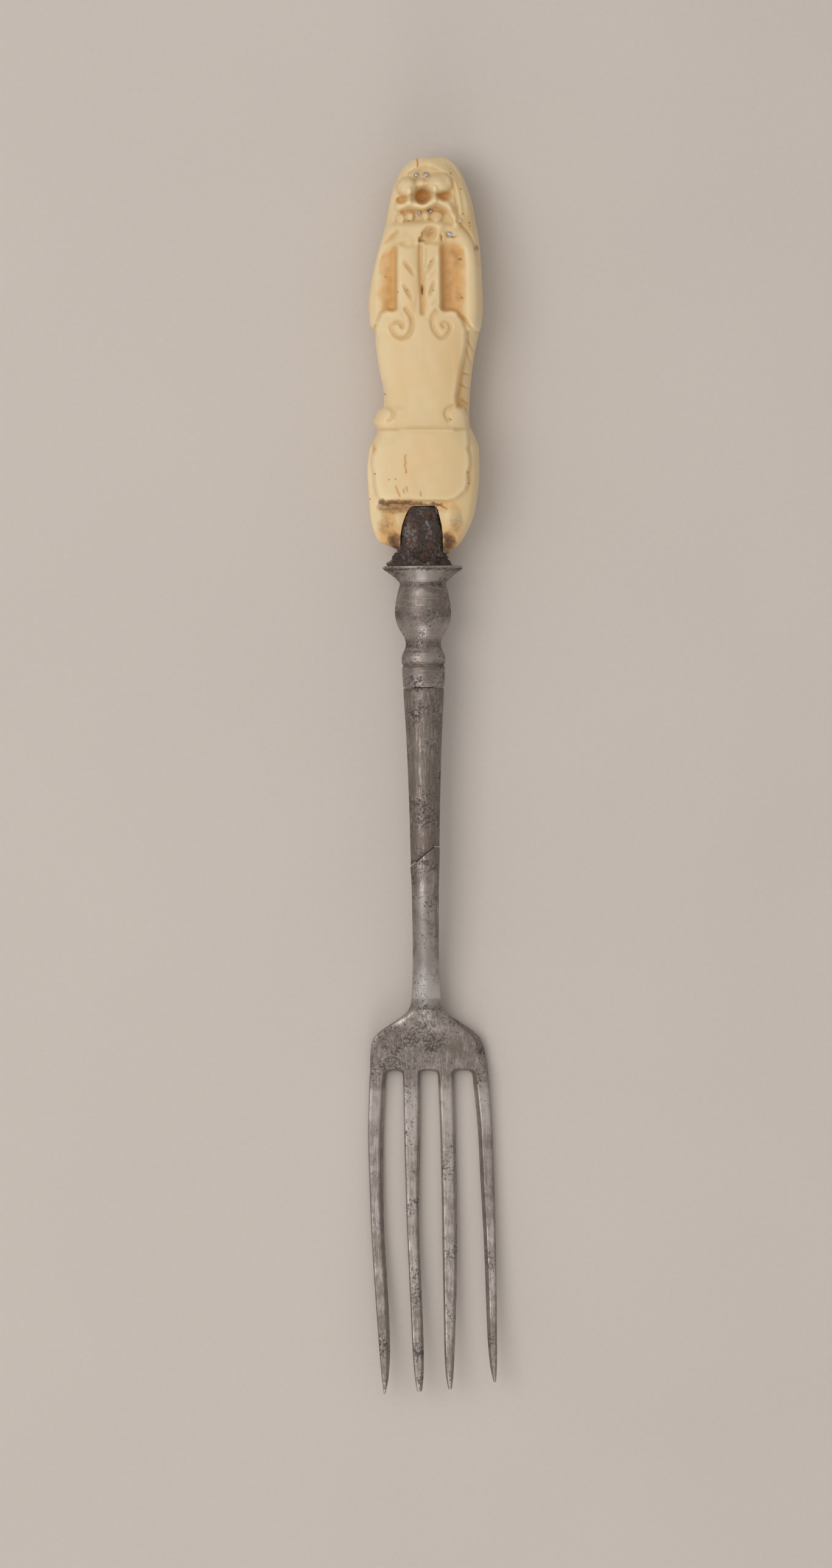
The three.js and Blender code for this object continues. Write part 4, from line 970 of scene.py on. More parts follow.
def line_distance(x, y, line):
    """Distance from each point to a line."""
    nearest = np.full(x.shape, np.inf)
    for (ax, ay), (bx, by) in zip(line, line[1:]):
        dx, dy = bx - ax, by - ay
        t = np.clip(((x - ax) * dx + (y - ay) * dy) / (dx * dx + dy * dy), 0, 1)
        nearest = np.minimum(nearest, np.hypot(x - ax - t * dx, y - ay - t * dy))
    return nearest


def near(x, y, points, reach):
    """Which points lie within reach of the box round some others."""
    low = np.min(points, axis=0) - reach
    high = np.max(points, axis=0) + reach
    return (x > low[0]) & (x < high[0]) & (y > low[1]) & (y < high[1])


def swell(x, y, middle, half_width, half_height, height, sharpness=1.0, turn=0):
    """Height of an oval swelling at each point."""
    cosine, sine = math.cos(math.radians(turn)), math.sin(math.radians(turn))
    dx, dy = x - middle[0], y - middle[1]
    along, aside = (dx * cosine + dy * sine) / half_width, (dy * cosine - dx * sine) / half_height
    return height * np.clip(1 - along ** 2 - aside ** 2, 0, 1) ** sharpness


def ridge(x, y, line, half_width, height):
    """Height of a rounded ridge along a line at each point."""
    raised = np.zeros_like(x)
    close = near(x, y, line, half_width)
    reach = np.clip(line_distance(x[close], y[close], line) / half_width, 0, 1)
    raised[close] = height * (1 - reach * reach) ** 2
    return raised


def plate(x, y, outline, edge, height=1.0):
    """Height of a flat plate with soft edges at each point."""
    outline = np.array(outline)
    raised = np.zeros_like(x)
    close = near(x, y, outline, edge)
    px, py = x[close], y[close]
    loop = np.vstack([outline, outline[:1]])
    inside = np.zeros(px.shape, bool)
    for (ax, ay), (bx, by) in zip(loop, loop[1:]):
        if ay != by:
            crosses = (ay > py) != (by > py)
            inside ^= crosses & (px < ax + (py - ay) / (by - ay) * (bx - ax))
    distance = line_distance(px, py, loop)
    raised[close] = height * smooth_step(np.where(inside, distance, -distance), -edge / 2, edge / 2)
    return raised


def knotty(x, y, waves):
    """Smooth noise, summed over waves of (height, size of the knots, layer)."""
    total = np.zeros_like(x)
    for height, size, layer in waves:
        values = [noise.noise(Vector((a / size, b / size, layer))) for a, b in zip(x.ravel(), y.ravel())]
        total += height * np.reshape(values, x.shape)
    return total


def beside_shield(x, y):
    """1 beside the shield and its columns, and 0 on them."""
    return 1 - plate(x, y, SHIELD, SHIELD_EDGE)


def relief(x, y):
    """Height of the carving over the handle's rounded body, in millimetres."""
    total = np.zeros_like(x)
    for swelling in SWELLS:
        total += swell(x, y, *swelling)
    for *leaf, turn in CUTS:
        total += swell(x, y, *leaf, turn=turn)
    for points, half_width, height in RIDGES:
        total += ridge(x, y, curved(points), half_width, height)
    for ends in ROPE_TURNS:
        total += ridge(x, y, ends, ROPE_GROOVE, -ROPE_DEPTH)
    for outline, edge, height in PLATES:
        total += plate(x, y, outline, edge, height)
    beside = beside_shield(x, y)
    total += SHIELD_HEIGHT * np.maximum(1 - beside, plate(x, y, CHEST, CHEST_EDGE))
    knots = 1 + knotty(x, y, RECESS_KNOTS)
    for outline, edge, depth, start, end in RECESSES:
        floor = plate(x, y, outline, edge) * smooth_step(x, start, end)
        total -= depth * knots * floor * beside
    return total


class Grid:
    """Values over the handle's front, read between its cells."""

    def __init__(self):
        self.x_axis = np.arange(CARVING_LEFT, CARVING_RIGHT, CARVING_CELL)
        self.y_axis = np.arange(CARVING_FOOT, CARVING_CROWN, CARVING_CELL)
        self.y, self.x = np.meshgrid(self.y_axis, self.x_axis, indexing="ij")

    def read(self, values, x, y):
        """Values at any points, between those of the four nearest cells."""
        column = np.clip((x - self.x_axis[0]) / CARVING_CELL, 0, len(self.x_axis) - 2)
        row = np.clip((y - self.y_axis[0]) / CARVING_CELL, 0, len(self.y_axis) - 2)
        i, j = row.astype(int), column.astype(int)
        s, t = row - i, column - j
        lower = values[i, j] * (1 - t) + values[i, j + 1] * t
        upper = values[i + 1, j] * (1 - t) + values[i + 1, j + 1] * t
        return lower * (1 - s) + upper * s


@functools.cache
def carving():
    """The grid of the handle's front and the carving's height on it, worn soft."""
    grid = Grid()
    return grid, blurred(relief(grid.x, grid.y), CARVING_BLUR)


def fullness(across):
    """Share of a section's depth at a share of its half width."""
    return (1 - np.abs(across) ** HANDLE_SQUARENESS) ** (1 / HANDLE_SQUARENESS)


def handle_front(x, y, share=1.0):
    """Depth of the carved front before the axis, in millimetres."""
    left, right, front, _ = rows_at(HANDLE_SECTIONS, y)
    middle = (left + right) / 2
    full = fullness(np.clip((x - middle) / (right - middle), -1, 1))
    carved = smooth_step(full, *CARVED_FROM)
    roll = (x - middle) * math.tan(HANDLE_ROLL) * np.minimum(1, front / ROLL_DEPTH)
    grid, height = carving()
    return front * full + carved * (share * grid.read(height, x, y) + roll)


def blurred(grid, reach):
    """The grid smoothed over reach cells both ways."""
    kernel = np.hanning(2 * reach + 3)[1:-1]
    kernel /= kernel.sum()
    for axis in (0, 1):
        grid = np.apply_along_axis(
            lambda line: np.convolve(np.pad(line, reach, mode="edge"), kernel, "valid"), axis, grid)
    return grid


def cut(piece, cutter):
    """Cuts a piece with another, which is then removed."""
    only(piece)
    bpy.ops.object.modifier_add(type="BOOLEAN")
    modifier = piece.modifiers[-1]
    modifier.operation = "DIFFERENCE"
    modifier.solver = "EXACT"
    modifier.object = cutter
    bpy.ops.object.modifier_apply(modifier=modifier.name)
    only(cutter)
    bpy.ops.object.delete()


def prism(name, outline, low, high):
    """An outline in X and Y, in millimetres, extruded between two depths."""
    floor = [(x, y, low) for x, y in outline]
    piece = mesh_piece(name, floor, [list(range(len(outline)))])
    bpy.ops.object.mode_set(mode="EDIT")
    bpy.ops.mesh.select_all(action="SELECT")
    bpy.ops.mesh.extrude_region_move(TRANSFORM_OT_translate={"value": (0, 0, high - low)})
    bpy.ops.mesh.select_all(action="SELECT")
    bpy.ops.mesh.normals_make_consistent(inside=False)
    bpy.ops.object.mode_set(mode="OBJECT")
    return piece


def rod(name, radius, middle, length, turn):
    """A cylinder about a middle point, in millimetres."""
    bpy.ops.object.select_all(action="DESELECT")
    bpy.ops.mesh.primitive_cylinder_add(
        vertices=BORE_SIDES, radius=radius, depth=length, location=middle, rotation=turn)
    piece = bpy.context.object
    piece.name = name
    bpy.ops.object.transform_apply(location=True, rotation=True, scale=True)
    return piece


def spun(name, profile):
    """A profile of (distance below the seat, radius) spun round the Y axis, in millimetres."""
    bpy.ops.object.select_all(action="DESELECT")
    bpy.ops.mesh.primitive_plane_add(size=1, enter_editmode=True)
    piece = bpy.context.object
    piece.name = name
    bpy.ops.mesh.merge(type="CENTER")
    here = Vector((0, 0, 0))
    for index, (distance, radius) in enumerate(profile):
        move = Vector((radius, -distance, 0)) - here
        if index == 0:
            bpy.ops.transform.translate(value=move)
        else:
            bpy.ops.mesh.extrude_vertices_move(TRANSFORM_OT_translate={"value": move})
        here += move
    bpy.ops.mesh.select_all(action="SELECT")
    bpy.ops.mesh.spin(steps=ROUND_SIDES, angle=2 * math.pi, center=(0, 0, 0), axis=(0, 1, 0))
    bpy.ops.mesh.select_all(action="SELECT")
    bpy.ops.mesh.remove_doubles(threshold=MERGE_DISTANCE)
    bpy.ops.mesh.normals_make_consistent(inside=False)
    bpy.ops.object.mode_set(mode="OBJECT")
    return piece


def fine_profile(rows):
    """Profile rows with points close enough for a smooth surface."""
    start, end = rows[0][0], rows[-1][0]
    distances = np.linspace(start, end, int((end - start) / PROFILE_STEP) + 1)
    distances = np.unique(np.concatenate([distances, [row[0] for row in rows]]))
    return list(zip(distances, rows_at(rows, distances)[0]))


def finish_piece(piece, material, body, slot, *nodes, angle=40):
    """Gives a piece its finish and its place on a body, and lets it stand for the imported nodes."""
    piece.data.materials.clear()
    piece.data.materials.append(material)
    only(piece)
    bpy.ops.object.shade_smooth_by_angle(angle=math.radians(angle))
    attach(piece, body)
    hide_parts(*nodes)


def finish_steel(piece, look, colours, body, node, angle, **attributes):
    """Gives a piece of the steelwork its signs of wear, painted highlights and shade, its place on the
    leaning axis and its finish.
    """
    for name, values in attributes.items():
        set_attribute(piece, name, values)
    piece.data.transform(STEEL_PLACE)
    finish_piece(piece, steel_finish(look, colours), body, "steel", node, angle=angle)


def set_attribute(piece, name, values):
    """Stores a value for each vertex, which a finish reads by its name."""
    attribute = piece.data.attributes.new(name, "FLOAT", "POINT")
    attribute.data.foreach_set("value", np.asarray(values, np.float32))


def mesh_points(piece):
    """A piece's vertices, one in each row."""
    flat = np.empty(len(piece.data.vertices) * 3)
    piece.data.vertices.foreach_get("co", flat)
    return flat.reshape(-1, 3)


class FORK_OT_ivory_handle(bpy.types.Operator):
    """Carve the ivory handle and stain its hollows"""

    bl_idname = "fork.ivory_handle"
    bl_label = "Ivory handle"

    def body(self, sizes):
        """The carved front and the plain back, as rings from foot to crown."""
        foot, crown = HANDLE_SECTIONS[0][0], HANDLE_SECTIONS[-1][0]
        heights = np.linspace(foot, crown, HANDLE_ROWS)
        left, right, _, inset = (column[:, None] for column in rows_at(HANDLE_SECTIONS, heights))
        middle, half = (left + right) / 2, (right - left) / 2
        front_across = np.cos(np.pi * np.arange(FRONT_POINTS) / FRONT_POINTS)
        front_x = middle + half * front_across
        front_y = np.broadcast_to(heights[:, None], front_x.shape)
        front_z = handle_front(front_x, front_y, sizes.carving)
        waves = sum(np.sin(a * front_x + b * front_y + phase) for a, b, phase in KNIFE_WAVES)
        front_z += sizes.undulation / MM / len(KNIFE_WAVES) * waves * fullness(front_across)
        front_z[:, 0] = 0
        back_across = -np.cos(np.pi * np.arange(BACK_POINTS) / BACK_POINTS)
        back_x = middle + half * back_across
        back_z = np.maximum(-(AXIS_HEIGHT + BACK_FLAT - inset) * fullness(back_across), -AXIS_HEIGHT)
        x = np.hstack([front_x, back_x])
        z = np.hstack([front_z, back_z])
        rings = np.stack([x, np.broadcast_to(heights[:, None], x.shape), z], -1)
        return mesh_piece("carved_ivory_handle", rings, ring_faces(HANDLE_ROWS, x.shape[1]))

    def stain(self, handle):
        """Amber in the hollows and dirt in cracks, pits and round the tang, with rubbed wear and painted
        light.
        """
        grid, carved = carving()
        x, y = grid.x, grid.y
        across = x + knotty(x, y, RAGGED_ACROSS)
        along = y + knotty(x, y, RAGGED_ALONG)
        hollow = blurred(carved, WIDE_HOLLOW) - carved
        narrow = np.clip((blurred(carved, NARROW_HOLLOW) - carved) / NARROW_DEPTH, 0, 1)
        amber = NARROW_AMBER * narrow + WIDE_AMBER * np.clip(hollow, 0, 1)
        beside = beside_shield(x, y)
        for outline, edge, _, start, end in RECESSES:
            floor = plate(across, along, outline, edge) * smooth_step(across, start, (start + end) / 2)
            amber += RECESS_AMBER * floor * beside
        amber = np.minimum(amber, HOLLOW_AMBER)
        for spot in AMBER_SPOTS:
            amber += swell(x, y, *spot)
        for points in CRACKS:
            amber += ridge(x, y, points, CRACK_HALO, CRACK_BROWN)
        dirt = [ridge(x, y, points, CRACK_WIDTH, CRACK_DARKNESS) for points in CRACKS]
        dirt += [ridge(across, along, curved(points), *line) for points, *line in GRIME_LINES]
        dirt += [swell(across, along, *spot) for spot in GRIME_SPOTS]
        dirt += [swell(x, y, middle, PIT_RADIUS, PIT_RADIUS, PIT_DARKNESS) for middle in PITS]
        px, py, pz = mesh_points(handle).T
        left, right, _, _ = rows_at(HANDLE_SECTIONS, py)
        aside = 2 * px - left - right
        # Painted light along the outer edges, cut back by painted shade on the right and at the upper left
        edge = smooth_step(np.abs(aside) / (right - left), *EDGE_LIGHT_SHARE)
        edge *= 1 - RIGHT_PAINTED_SHADE * smooth_step(aside, *RIGHT_SHADE_REACH)
        edge *= 1 - UPPER_LEFT_PAINTED_SHADE * smooth_step(py, *UPPER_SHADE_REACH) * smooth_step(-px, *LEFT_SHADE_REACH)
        rubbed_and_lit = EDGE_PAINTED_LIGHT * edge + grid.read(np.clip(-hollow / PROUD_HEIGHT, 0, 1), px, py)
        # Painted light at the crown, which slopes away from the lamps
        rubbed_and_lit += CROWN_PAINTED_LIGHT * smooth_step(py, *CROWN_LIGHT_REACH)
        front = smooth_step(pz, *STAIN_DEPTH)
        set_attribute(handle, "stain", grid.read(np.clip(amber, 0, MOST_AMBER), px, py) * front)
        set_attribute(handle, "grime", grid.read(np.max(dirt, axis=0), px, py) * front)
        set_attribute(handle, "rubbed_and_lit", np.clip(rubbed_and_lit, 0, 1))

    def execute(self, context):
        handle = self.body(context.scene.fork_sizes)
        cut(handle, prism("slot", SLOT_OUTLINE, SLOT_FLOOR, 2 * AXIS_HEIGHT))
        cut(handle, rod("cement_bore", CEMENT_BORE, CEMENT_BORE_MIDDLE, CEMENT_BORE_LENGTH, ALONG))
        cut(handle, rod("pin_bore", CROSS_PIN_BORE, CROSS_PIN_MIDDLE, CROSS_PIN_LENGTH, ACROSS))
        self.stain(handle)
        handle.data.transform(HANDLE_PLACE)
        finish_piece(handle, ivory_finish(context.scene.fork_colours), "handle", "ivory", "ivory_handle")
        return {"FINISHED"}


class FORK_OT_tang(bpy.types.Operator):
    """Forge the rusty tang"""

    bl_idname = "fork.tang"
    bl_label = "Rusty tang"

    def execute(self, context):
        block = np.arange(TANG_FOOT, TANG_TOP, TANG_ROW)
        ends = [height for height, *_ in TANG_SECTIONS if not TANG_FOOT < height < TANG_TOP]
        heights = np.unique(np.concatenate([ends, block]))
        left, right, depth, squareness = (column[:, None] for column in rows_at(TANG_SECTIONS, heights))
        angle = 2 * np.pi * np.arange(TANG_POINTS) / TANG_POINTS
        aside = np.abs(np.cos(angle) / ((right - left) / 2)) ** squareness
        before = np.abs(np.sin(angle) / depth) ** squareness
        reach = (aside + before) ** (-1 / squareness)
        x = (left + right) / 2 + reach * np.cos(angle)
        y = np.broadcast_to(heights[:, None], x.shape)
        rings = np.stack([x, y, reach * np.sin(angle)], -1)
        relief_height = context.scene.fork_sizes.rust_relief / MM
        first, last = np.searchsorted(heights, (TANG_FOOT, TANG_TOP))
        for ring in rings[first:last]:
            for point in ring:
                push = relief_height * (FOOT_RAGGEDNESS if point[1] < RAGGED_FOOT else 1.0)
                push *= sum(share * noise.fractal(Vector(point) * Vector(knots) + Vector(shift), *octaves)
                            for share, knots, shift, octaves in RUST_SCALE)
                point[[0, 2]] *= 1 + push / np.hypot(point[0], point[2])
        points = rings * MM + np.array(SEAT)
        tang = mesh_piece("rusty_tang", points, ring_faces(len(heights), TANG_POINTS))
        finish_piece(tang, rust_finish(context.scene.fork_colours), "handle", "rusty_iron", "tang", angle=60)
        return {"FINISHED"}


class FORK_OT_bolster(bpy.types.Operator):
    """Turn the bolster with its flange, bulb, bead and collar"""

    bl_idname = "fork.bolster"
    bl_label = "Turned bolster"

    def execute(self, context):
        tang_radius, tang_depth = PEG_BORE
        shank_radius, shank_depth = SHANK_PEG_BORE
        shank_end = COLLAR_END - shank_depth
        top = [(tang_depth, 0), (tang_depth, tang_radius), (0, tang_radius)]
        foot = [(COLLAR_END, shank_radius), (shank_end, shank_radius), (shank_end, 0)]
        bolster = spun("turned_bolster", top + fine_profile(BOLSTER_PROFILE) + foot)
        x, y, _ = mesh_points(bolster).T
        cone = rows_at(BOLSTER_MATT, -y)[0]
        stain = sum(strength * bell(-y, place, reach) for place, reach, strength in BOLSTER_STAINS)
        finish_steel(
            bolster, "bolster_steel", context.scene.fork_colours, "handle", "bolster", angle=35,
            # Painted shade on the cone's sides, and a painted highlight down its middle
            stain=stain + CONE_PAINTED_SHADE * cone * smooth_step(np.abs(x), *CONE_SHADE_REACH),
            clean=rows_at(BOLSTER_CLEAN, -y)[0] + cone * bell(x, *CONE_PAINTED_HIGHLIGHT),
            matt=cone)
        return {"FINISHED"}


def seam_rise(x):
    """Height of the seam above its middle, across the shank."""
    return np.minimum(SEAM_SLOPE * x, SEAM_LAND)


class FORK_OT_upper_shank(bpy.types.Operator):
    """Turn the upper shank, cut it along the seam and bore its socket"""

    bl_idname = "fork.upper_shank"
    bl_label = "Upper shank"

    def execute(self, context):
        peg_radius, peg_length = SHANK_PEG
        peg_end = SHANK_START - peg_length
        rows = fine_profile(SHANK_PROFILE[:SHANK_ROWS])
        outside = [(SHANK_START + distance, radius) for distance, radius in rows]
        top = [(peg_end, 0), (peg_end, peg_radius), (SHANK_START, peg_radius)]
        shank = spun("tapered_shank", top + outside + [(outside[-1][0], 0)])
        cut(shank, prism("seam", SEAM_OUTLINE, -SEAM_BLOCK, SEAM_BLOCK))
        cut(shank, rod("socket", SOCKET_RADIUS, (0, SEAM_Y + SOCKET_ROOM, 0), 2 * SPIGOT_LENGTH, ALONG))
        x, y, _ = mesh_points(shank).T
        stain = SEAM_STAIN * bell(y - SEAM_Y, seam_rise(x), SEAM_STAIN_REACH)
        stain += COLLAR_STAIN * bell(-y, SHANK_START, COLLAR_STAIN_REACH)
        finish_steel(
            shank, "shank_steel", context.scene.fork_colours, "handle", "upper_shank", angle=35, stain=stain)
        return {"FINISHED"}


def head_dip(distance):
    """Height of the head's middle line above the shank's axis."""
    drop = PLATE_THICKNESS / 2 - AXIS_HEIGHT
    rise = np.maximum(0, (distance - BELLY) / (SLOT_ROOT + LONGEST_TINE - BELLY))
    return drop * smooth_step(distance, DIP_START, BELLY) + TIP_RISE * rise * rise


def head_row(x, distance, z):
    """Points of a section of the head, about its middle line."""
    return np.stack([x, -distance, z + head_dip(distance)], -1)


def round_row(distance, radius, slant=0.0):
    """A round section of the spigot or neck; slant is its share of the seam's slope."""
    x = -radius * np.cos(np.concatenate([COLUMN_ANGLE, COLUMN_ANGLE[::-1]]))
    z = radius * np.sin(np.concatenate([COLUMN_ANGLE, -COLUMN_ANGLE[::-1]]))
    return head_row(x, distance - slant * seam_rise(x), z)


def tine_columns(tine, share):
    """Left edge, left bevel, right bevel and right edge of a tine at a share of its length."""
    _, left_slope, right_slope, edges = tine
    left, right = rows_at(edges, np.array([share]))[:, 0]
    most = (right - left) * MOST_BEVEL
    return [left, left + min(left_slope, most), right - min(right_slope, most), right]


def flat_row(distance, left, right, thickness, flatness, split=False, lower_beside=0.0):
    """A section of the shoulder plate between round and flat.

    Split gives each tine its own sides, and lower_beside draws the section down beside the slots.
    """
    root = np.array([tine_columns(tine, 0) for tine in TINES]).ravel()
    share = (root - (root[0] + root[-1]) / 2) / (root[-1] - root[0]) * 2
    roundness = 1 - flatness
    x = (left + right) / 2 + (right - left) / 2 * (flatness * share - roundness * np.cos(COLUMN_ANGLE))
    low = TINE_SIDES if split else OUTER_COLUMNS
    level = np.where(low, WIDEST, 1.0)
    if not lower_beside:
        level[[0, -1]] = SHOULDER_SIDES
        x[[1, -2]] += np.array(SHOULDER_BEVELS) * smooth_step(flatness, *BEVEL_FLATNESS)
    bulge = roundness * np.sin(COLUMN_ANGLE)
    top = thickness / 2 * (flatness * level + bulge)
    bottom = thickness / 2 * (flatness * np.where(low, level, -1.0) - bulge)
    bottom[low] = np.minimum(bottom[low], top[low] - thickness / 2 * PLATE_EDGE)
    down = distance + lower_beside * np.tile(BESIDE_SLOT, 2)
    return head_row(np.concatenate([x, x[::-1]]), down, np.concatenate([top, bottom[::-1]]))


def tine_row(tine, share):
    """The eight corners of a tine's section at a share of its length."""
    left, left_top, right_top, right = tine_columns(tine, share)
    half = (PLATE_THICKNESS * (1 - share) + TIP_THICKNESS * share) / 2
    inset = min(BOTTOM_BEVEL, (right - left) * MOST_BOTTOM_BEVEL)
    side = WIDEST * half
    under = side - TINE_EDGE * half
    x = [left, left_top, right_top, right, right, right - inset, left + inset, left]
    z = [side, half, half, side, under, -half, -half, under]
    return head_row(np.array(x), np.full(len(x), SLOT_ROOT + share * tine[0]), np.array(z))


class FORK_OT_fork_head(bpy.types.Operator):
    """Shape the lower shank, shoulder plate and tines as one smooth cage"""

    bl_idname = "fork.fork_head"
    bl_label = "Fork head"

    def neck_and_plate(self, step):
        """Rings of points from the spigot's end to the root of the slots."""
        radii = rows_at(SHANK_PROFILE, (SEAM_DISTANCE, *NECK_ROWS))[0]
        edge = radii[0] + step
        seam = SEAM_DISTANCE + SEAM_GAP
        across, along = SEAM_BEVEL
        rows = [
            round_row(SEAM_DISTANCE - SPIGOT_LENGTH, SPIGOT_RADIUS),
            round_row(seam, SPIGOT_RADIUS, 1),
            round_row(seam, edge - across, 1),
            round_row(seam + along, edge, 1),
            round_row((seam + NECK_ROWS[0]) / 2, edge - step / 2, 0.5),
        ]
        rows += [round_row(distance, radius) for distance, radius in zip(NECK_ROWS, radii[1:])]
        rows += [flat_row(*row) for row in SHOULDERS]
        left, right = TINES[0][3][0][1], TINES[-1][3][0][2]
        root = (left, right, PLATE_THICKNESS, 1.0)
        rows.append(flat_row(SLOT_ROOT - SLOT_LEAD, *root, lower_beside=SLOT_CORNER / 2))
        rows.append(flat_row(SLOT_ROOT, *root, lower_beside=SLOT_CORNER))
        rows.append(flat_row(SLOT_ROOT + SLOT_BEVEL, *root, split=True, lower_beside=SLOT_CORNER))
        return rows

    def cage(self, step):
        """Points, faces and creased edges of the head, whose socket edge stands a step proud."""
        rows = self.neck_and_plate(step)
        points = np.vstack(rows).tolist()
        faces = ring_faces(len(rows), HEAD_RING)[:-1]
        root = (len(rows) - 1) * HEAD_RING
        rim = root - HEAD_RING
        plate_start = rim - (len(SHOULDERS) + 1) * HEAD_RING
        creases = {}

        def crease(first, second, strength):
            creases[frozenset((first, second))] = strength

        def below(top):
            """The point under a top one of the last ring."""
            return 2 * root + HEAD_RING - 1 - top

        for number, strength in enumerate(SEAM_CREASES):
            start = number * HEAD_RING
            for k in range(HEAD_RING):
                crease(start + k, start + (k + 1) % HEAD_RING, strength)
        for number in range(CREASED_SHOULDER, len(SHOULDERS)):
            for k in (0, 1, HEAD_COLUMNS - 2, HEAD_COLUMNS - 1):
                start = plate_start + number * HEAD_RING + k
                crease(start, start + HEAD_RING, SHOULDER_CREASE)
        for k in range(HEAD_COLUMNS):
            if 1 < k < HEAD_COLUMNS - 2 and k % 4 != 1:
                crease(rim + k, rim + k + 1, EDGE_CREASE)
            if not TINE_SIDES[k]:
                crease(rim + k, root + k, EDGE_CREASE)
        for right in range(root + 3, root + HEAD_COLUMNS - 1, 4):
            faces.append([right, right + 1, below(right + 1), below(right)])
        for number, tine in enumerate(TINES):
            top = [root + 4 * number + j for j in range(4)]
            previous = top + [below(index) for index in reversed(top)]
            near_tip, tip = (row[0] for row in tine[3][-2:])
            for share in (*TINE_SHARES, near_tip, tip):
                start = len(points)
                points += tine_row(tine, share).tolist()
                current = list(range(start, len(points)))
                for j in range(8):
                    faces.append([previous[j], previous[(j + 1) % 8], current[(j + 1) % 8], current[j]])
                for j in (1, 2):
                    crease(previous[j], current[j], EDGE_CREASE)
                previous = current
            for j in range(3):
                faces.append([previous[j], previous[j + 1], previous[6 - j], previous[7 - j]])
            for j in range(8):
                crease(previous[j], previous[(j + 1) % 8], TIP_CREASE)
        return np.array(points) - (0, SHANK_START, 0), faces, creases

    def execute(self, context):
        points, faces, creases = self.cage(context.scene.fork_sizes.seam_step / MM)
        head = mesh_piece("four_tined_head", points, faces)
        crease = head.data.attributes.new("crease_edge", "FLOAT", "EDGE")
        for edge in head.data.edges:
            crease.data[edge.index].value = creases.get(frozenset(edge.vertices), 0.0)
        bpy.ops.object.modifier_add(type="SUBSURF")
        modifier = head.modifiers[-1]
        modifier.levels = modifier.render_levels = HEAD_LEVELS
        bpy.ops.object.modifier_apply(modifier=modifier.name)
        x, y, _ = mesh_points(head).T
        outer = OUTER_DULLING * smooth_step(np.abs(x), *OUTER_ACROSS) * smooth_step(-y, *OUTER_BELOW)
        flanks = FLANK_SHADE * smooth_step(np.abs(x), *FLANK_ACROSS) * smooth_step(-y, *FLANK_BELOW)
        left = rows_at([(row[0] + SHANK_START, row[1]) for row in SHOULDERS], -y)[0]
        # worn here is a painted highlight along the plate's lit left edge, with fewer stains and a matt
        # finish
        worn = bell(x - left, *LIT_EDGE) * smooth_step(-y, *LIT_EDGE_START) * smooth_step(-y, *LIT_EDGE_END)
        patch = bell(x, *PATCH_ACROSS) * bell(-y, *PATCH_BELOW)
        finish_steel(
            head, "head_steel", context.scene.fork_colours, "fork", "fork_head", angle=50,
            clean=rows_at(HEAD_CLEAN_AND_LIT, -y)[0] - outer - flanks + PATCH_CLEAN * patch,
            stain=rows_at(HEAD_STAINS, -y)[0] - LIT_EDGE_CLEARING * worn + PATCH_STAIN * patch,
            matt=LIT_EDGE_MATT * worn)
        return {"FINISHED"}


class FORK_OT_silver_inlays(bpy.types.Operator):
    """Set the silver pins in the carved front"""

    bl_idname = "fork.silver_inlays"
    bl_label = "Silver inlays"

    def execute(self, context):
        silver = silver_finish(context.scene.fork_colours)
        proud = context.scene.fork_sizes.inlay_proud / MM
        for node, (x, y), half_width, half_height, turn in INLAYS:
            level = handle_front(np.array([x]), np.array([y]))[0] + proud
            bpy.ops.object.select_all(action="DESELECT")
            bpy.ops.mesh.primitive_ico_sphere_add(subdivisions=5, radius=1, enter_editmode=True)
            pin = bpy.context.object
            pin.name = node + "_head"
            bpy.ops.transform.resize(value=(half_width, half_height, INLAY_DEPTH))
            bpy.ops.object.mode_set(mode="OBJECT")
            for vertex in pin.data.vertices:
                dent = noise.fractal(vertex.co * DENT_SCALE + Vector((x, y, 0)), *DENT_OCTAVES)
                vertex.co *= 1 + DENT_SHARE * dent
            spin = Matrix.Rotation(math.radians(turn), 4, "Z")
            place = Matrix.Translation((x, y, level - INLAY_DEPTH * INLAY_SUNK))
            pin.data.transform(HANDLE_PLACE @ place @ spin)
            finish_piece(pin, silver, "handle", "silver", node, angle=60)
        return {"FINISHED"}


class FORK_OT_hidden_fixings(bpy.types.Operator):
    """Finish the cement and the cross pin inside the handle"""

    bl_idname = "fork.hidden_fixings"
    bl_label = "Hidden fixings"

    def execute(self, context):
        colours = context.scene.fork_colours
        finishes = {"tang_cement": cement_finish(colours), "tang_cross_pin": rust_finish(colours)}
        for node, material in finishes.items():
            for place in frame["nodes"][node].material_slots:
                place.link = "OBJECT"
                place.material = material
        return {"FINISHED"}


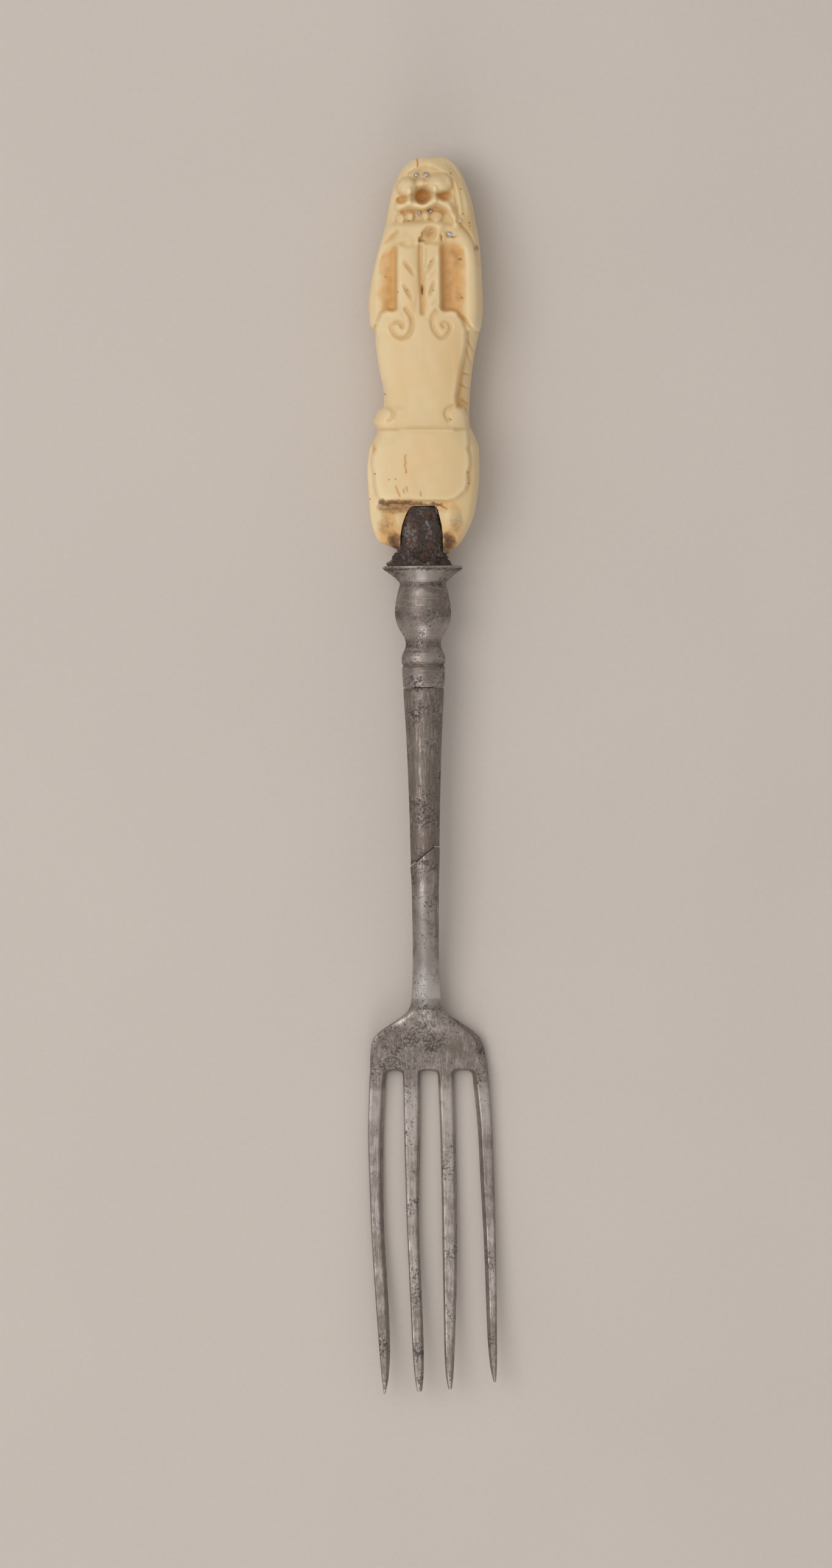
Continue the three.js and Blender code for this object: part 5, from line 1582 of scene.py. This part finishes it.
class FORK_OT_stage(bpy.types.Operator):
    """Lay the paper, set the soft lights and hang the camera over the fork"""

    bl_idname = "fork.stage"
    bl_label = "Stage"

    def light(self, name, place, size, power):
        """A square soft light that faces the fork."""
        bpy.ops.object.light_add(type="AREA", location=place)
        light = bpy.context.object
        light.name = name
        light.data.shape = "SQUARE"
        light.data.size = size
        light.data.energy = power
        light.data.color = LIGHT_COLOUR
        light.rotation_euler = (-Vector(place)).to_track_quat("-Z", "Y").to_euler()

    def execute(self, context):
        scene = context.scene
        bpy.ops.object.select_all(action="DESELECT")
        bpy.ops.mesh.primitive_plane_add(size=PAPER_SIZE, location=(0, 0, PAPER_LEVEL))
        floor = bpy.context.object
        floor.name = "paper_floor"
        floor.data.materials.append(paper_finish(scene.fork_colours))
        for light in LIGHTS:
            self.light(*light)
        world = bpy.data.worlds.new("room")
        world.use_nodes = True
        background = world.node_tree.nodes["Background"]
        background.inputs["Color"].default_value = (*LIGHT_COLOUR, 1)
        background.inputs["Strength"].default_value = ROOM_LIGHT
        scene.world = world
        scene.view_settings.view_transform = "Standard"
        height = scene.fork_sizes.camera_height
        across = (PHOTO_WIDTH / 2 - SEAT_PIXEL[0]) * PHOTO_SCALE * MM
        down = (PHOTO_HEIGHT / 2 - SEAT_PIXEL[1]) * PHOTO_SCALE * MM
        bpy.ops.object.camera_add(location=(SEAT.x + across, SEAT.y - down, height), rotation=(0, 0, 0))
        camera = bpy.context.object
        camera.data.sensor_fit = "VERTICAL"
        view_height = PHOTO_HEIGHT * PHOTO_SCALE * MM
        camera.data.lens = camera.data.sensor_height * (height - SEAT.z) / view_height
        scene.camera = camera
        return {"FINISHED"}


OPERATORS = (
    FORK_OT_ivory_handle,
    FORK_OT_tang,
    FORK_OT_bolster,
    FORK_OT_upper_shank,
    FORK_OT_fork_head,
    FORK_OT_silver_inlays,
    FORK_OT_hidden_fixings,
    FORK_OT_stage,
)


class FORK_PT_panel(bpy.types.Panel):
    """The fork's sizes, colours and pieces"""

    bl_label = "Travel fork"
    bl_idname = "FORK_PT_panel"
    bl_space_type = "VIEW_3D"
    bl_region_type = "UI"
    bl_category = "Fork"

    def draw(self, context):
        for group in (context.scene.fork_sizes, context.scene.fork_colours):
            for name in group.__annotations__:
                self.layout.prop(group, name)
        for operator in OPERATORS:
            self.layout.operator(operator.bl_idname)


CLASSES = (ForkSizes, ForkColours, *OPERATORS, FORK_PT_panel)


def register():
    for each in CLASSES:
        bpy.utils.register_class(each)
    bpy.types.Scene.fork_sizes = bpy.props.PointerProperty(type=ForkSizes)
    bpy.types.Scene.fork_colours = bpy.props.PointerProperty(type=ForkColours)


def unregister():
    del bpy.types.Scene.fork_colours
    del bpy.types.Scene.fork_sizes
    for each in reversed(CLASSES):
        bpy.utils.unregister_class(each)


def main():
    register()
    bpy.ops.fork.ivory_handle()
    bpy.ops.fork.tang()
    bpy.ops.fork.bolster()
    bpy.ops.fork.upper_shank()
    bpy.ops.fork.fork_head()
    bpy.ops.fork.silver_inlays()
    bpy.ops.fork.hidden_fixings()
    bpy.ops.fork.stage()


if __name__ == "__main__":
    main()
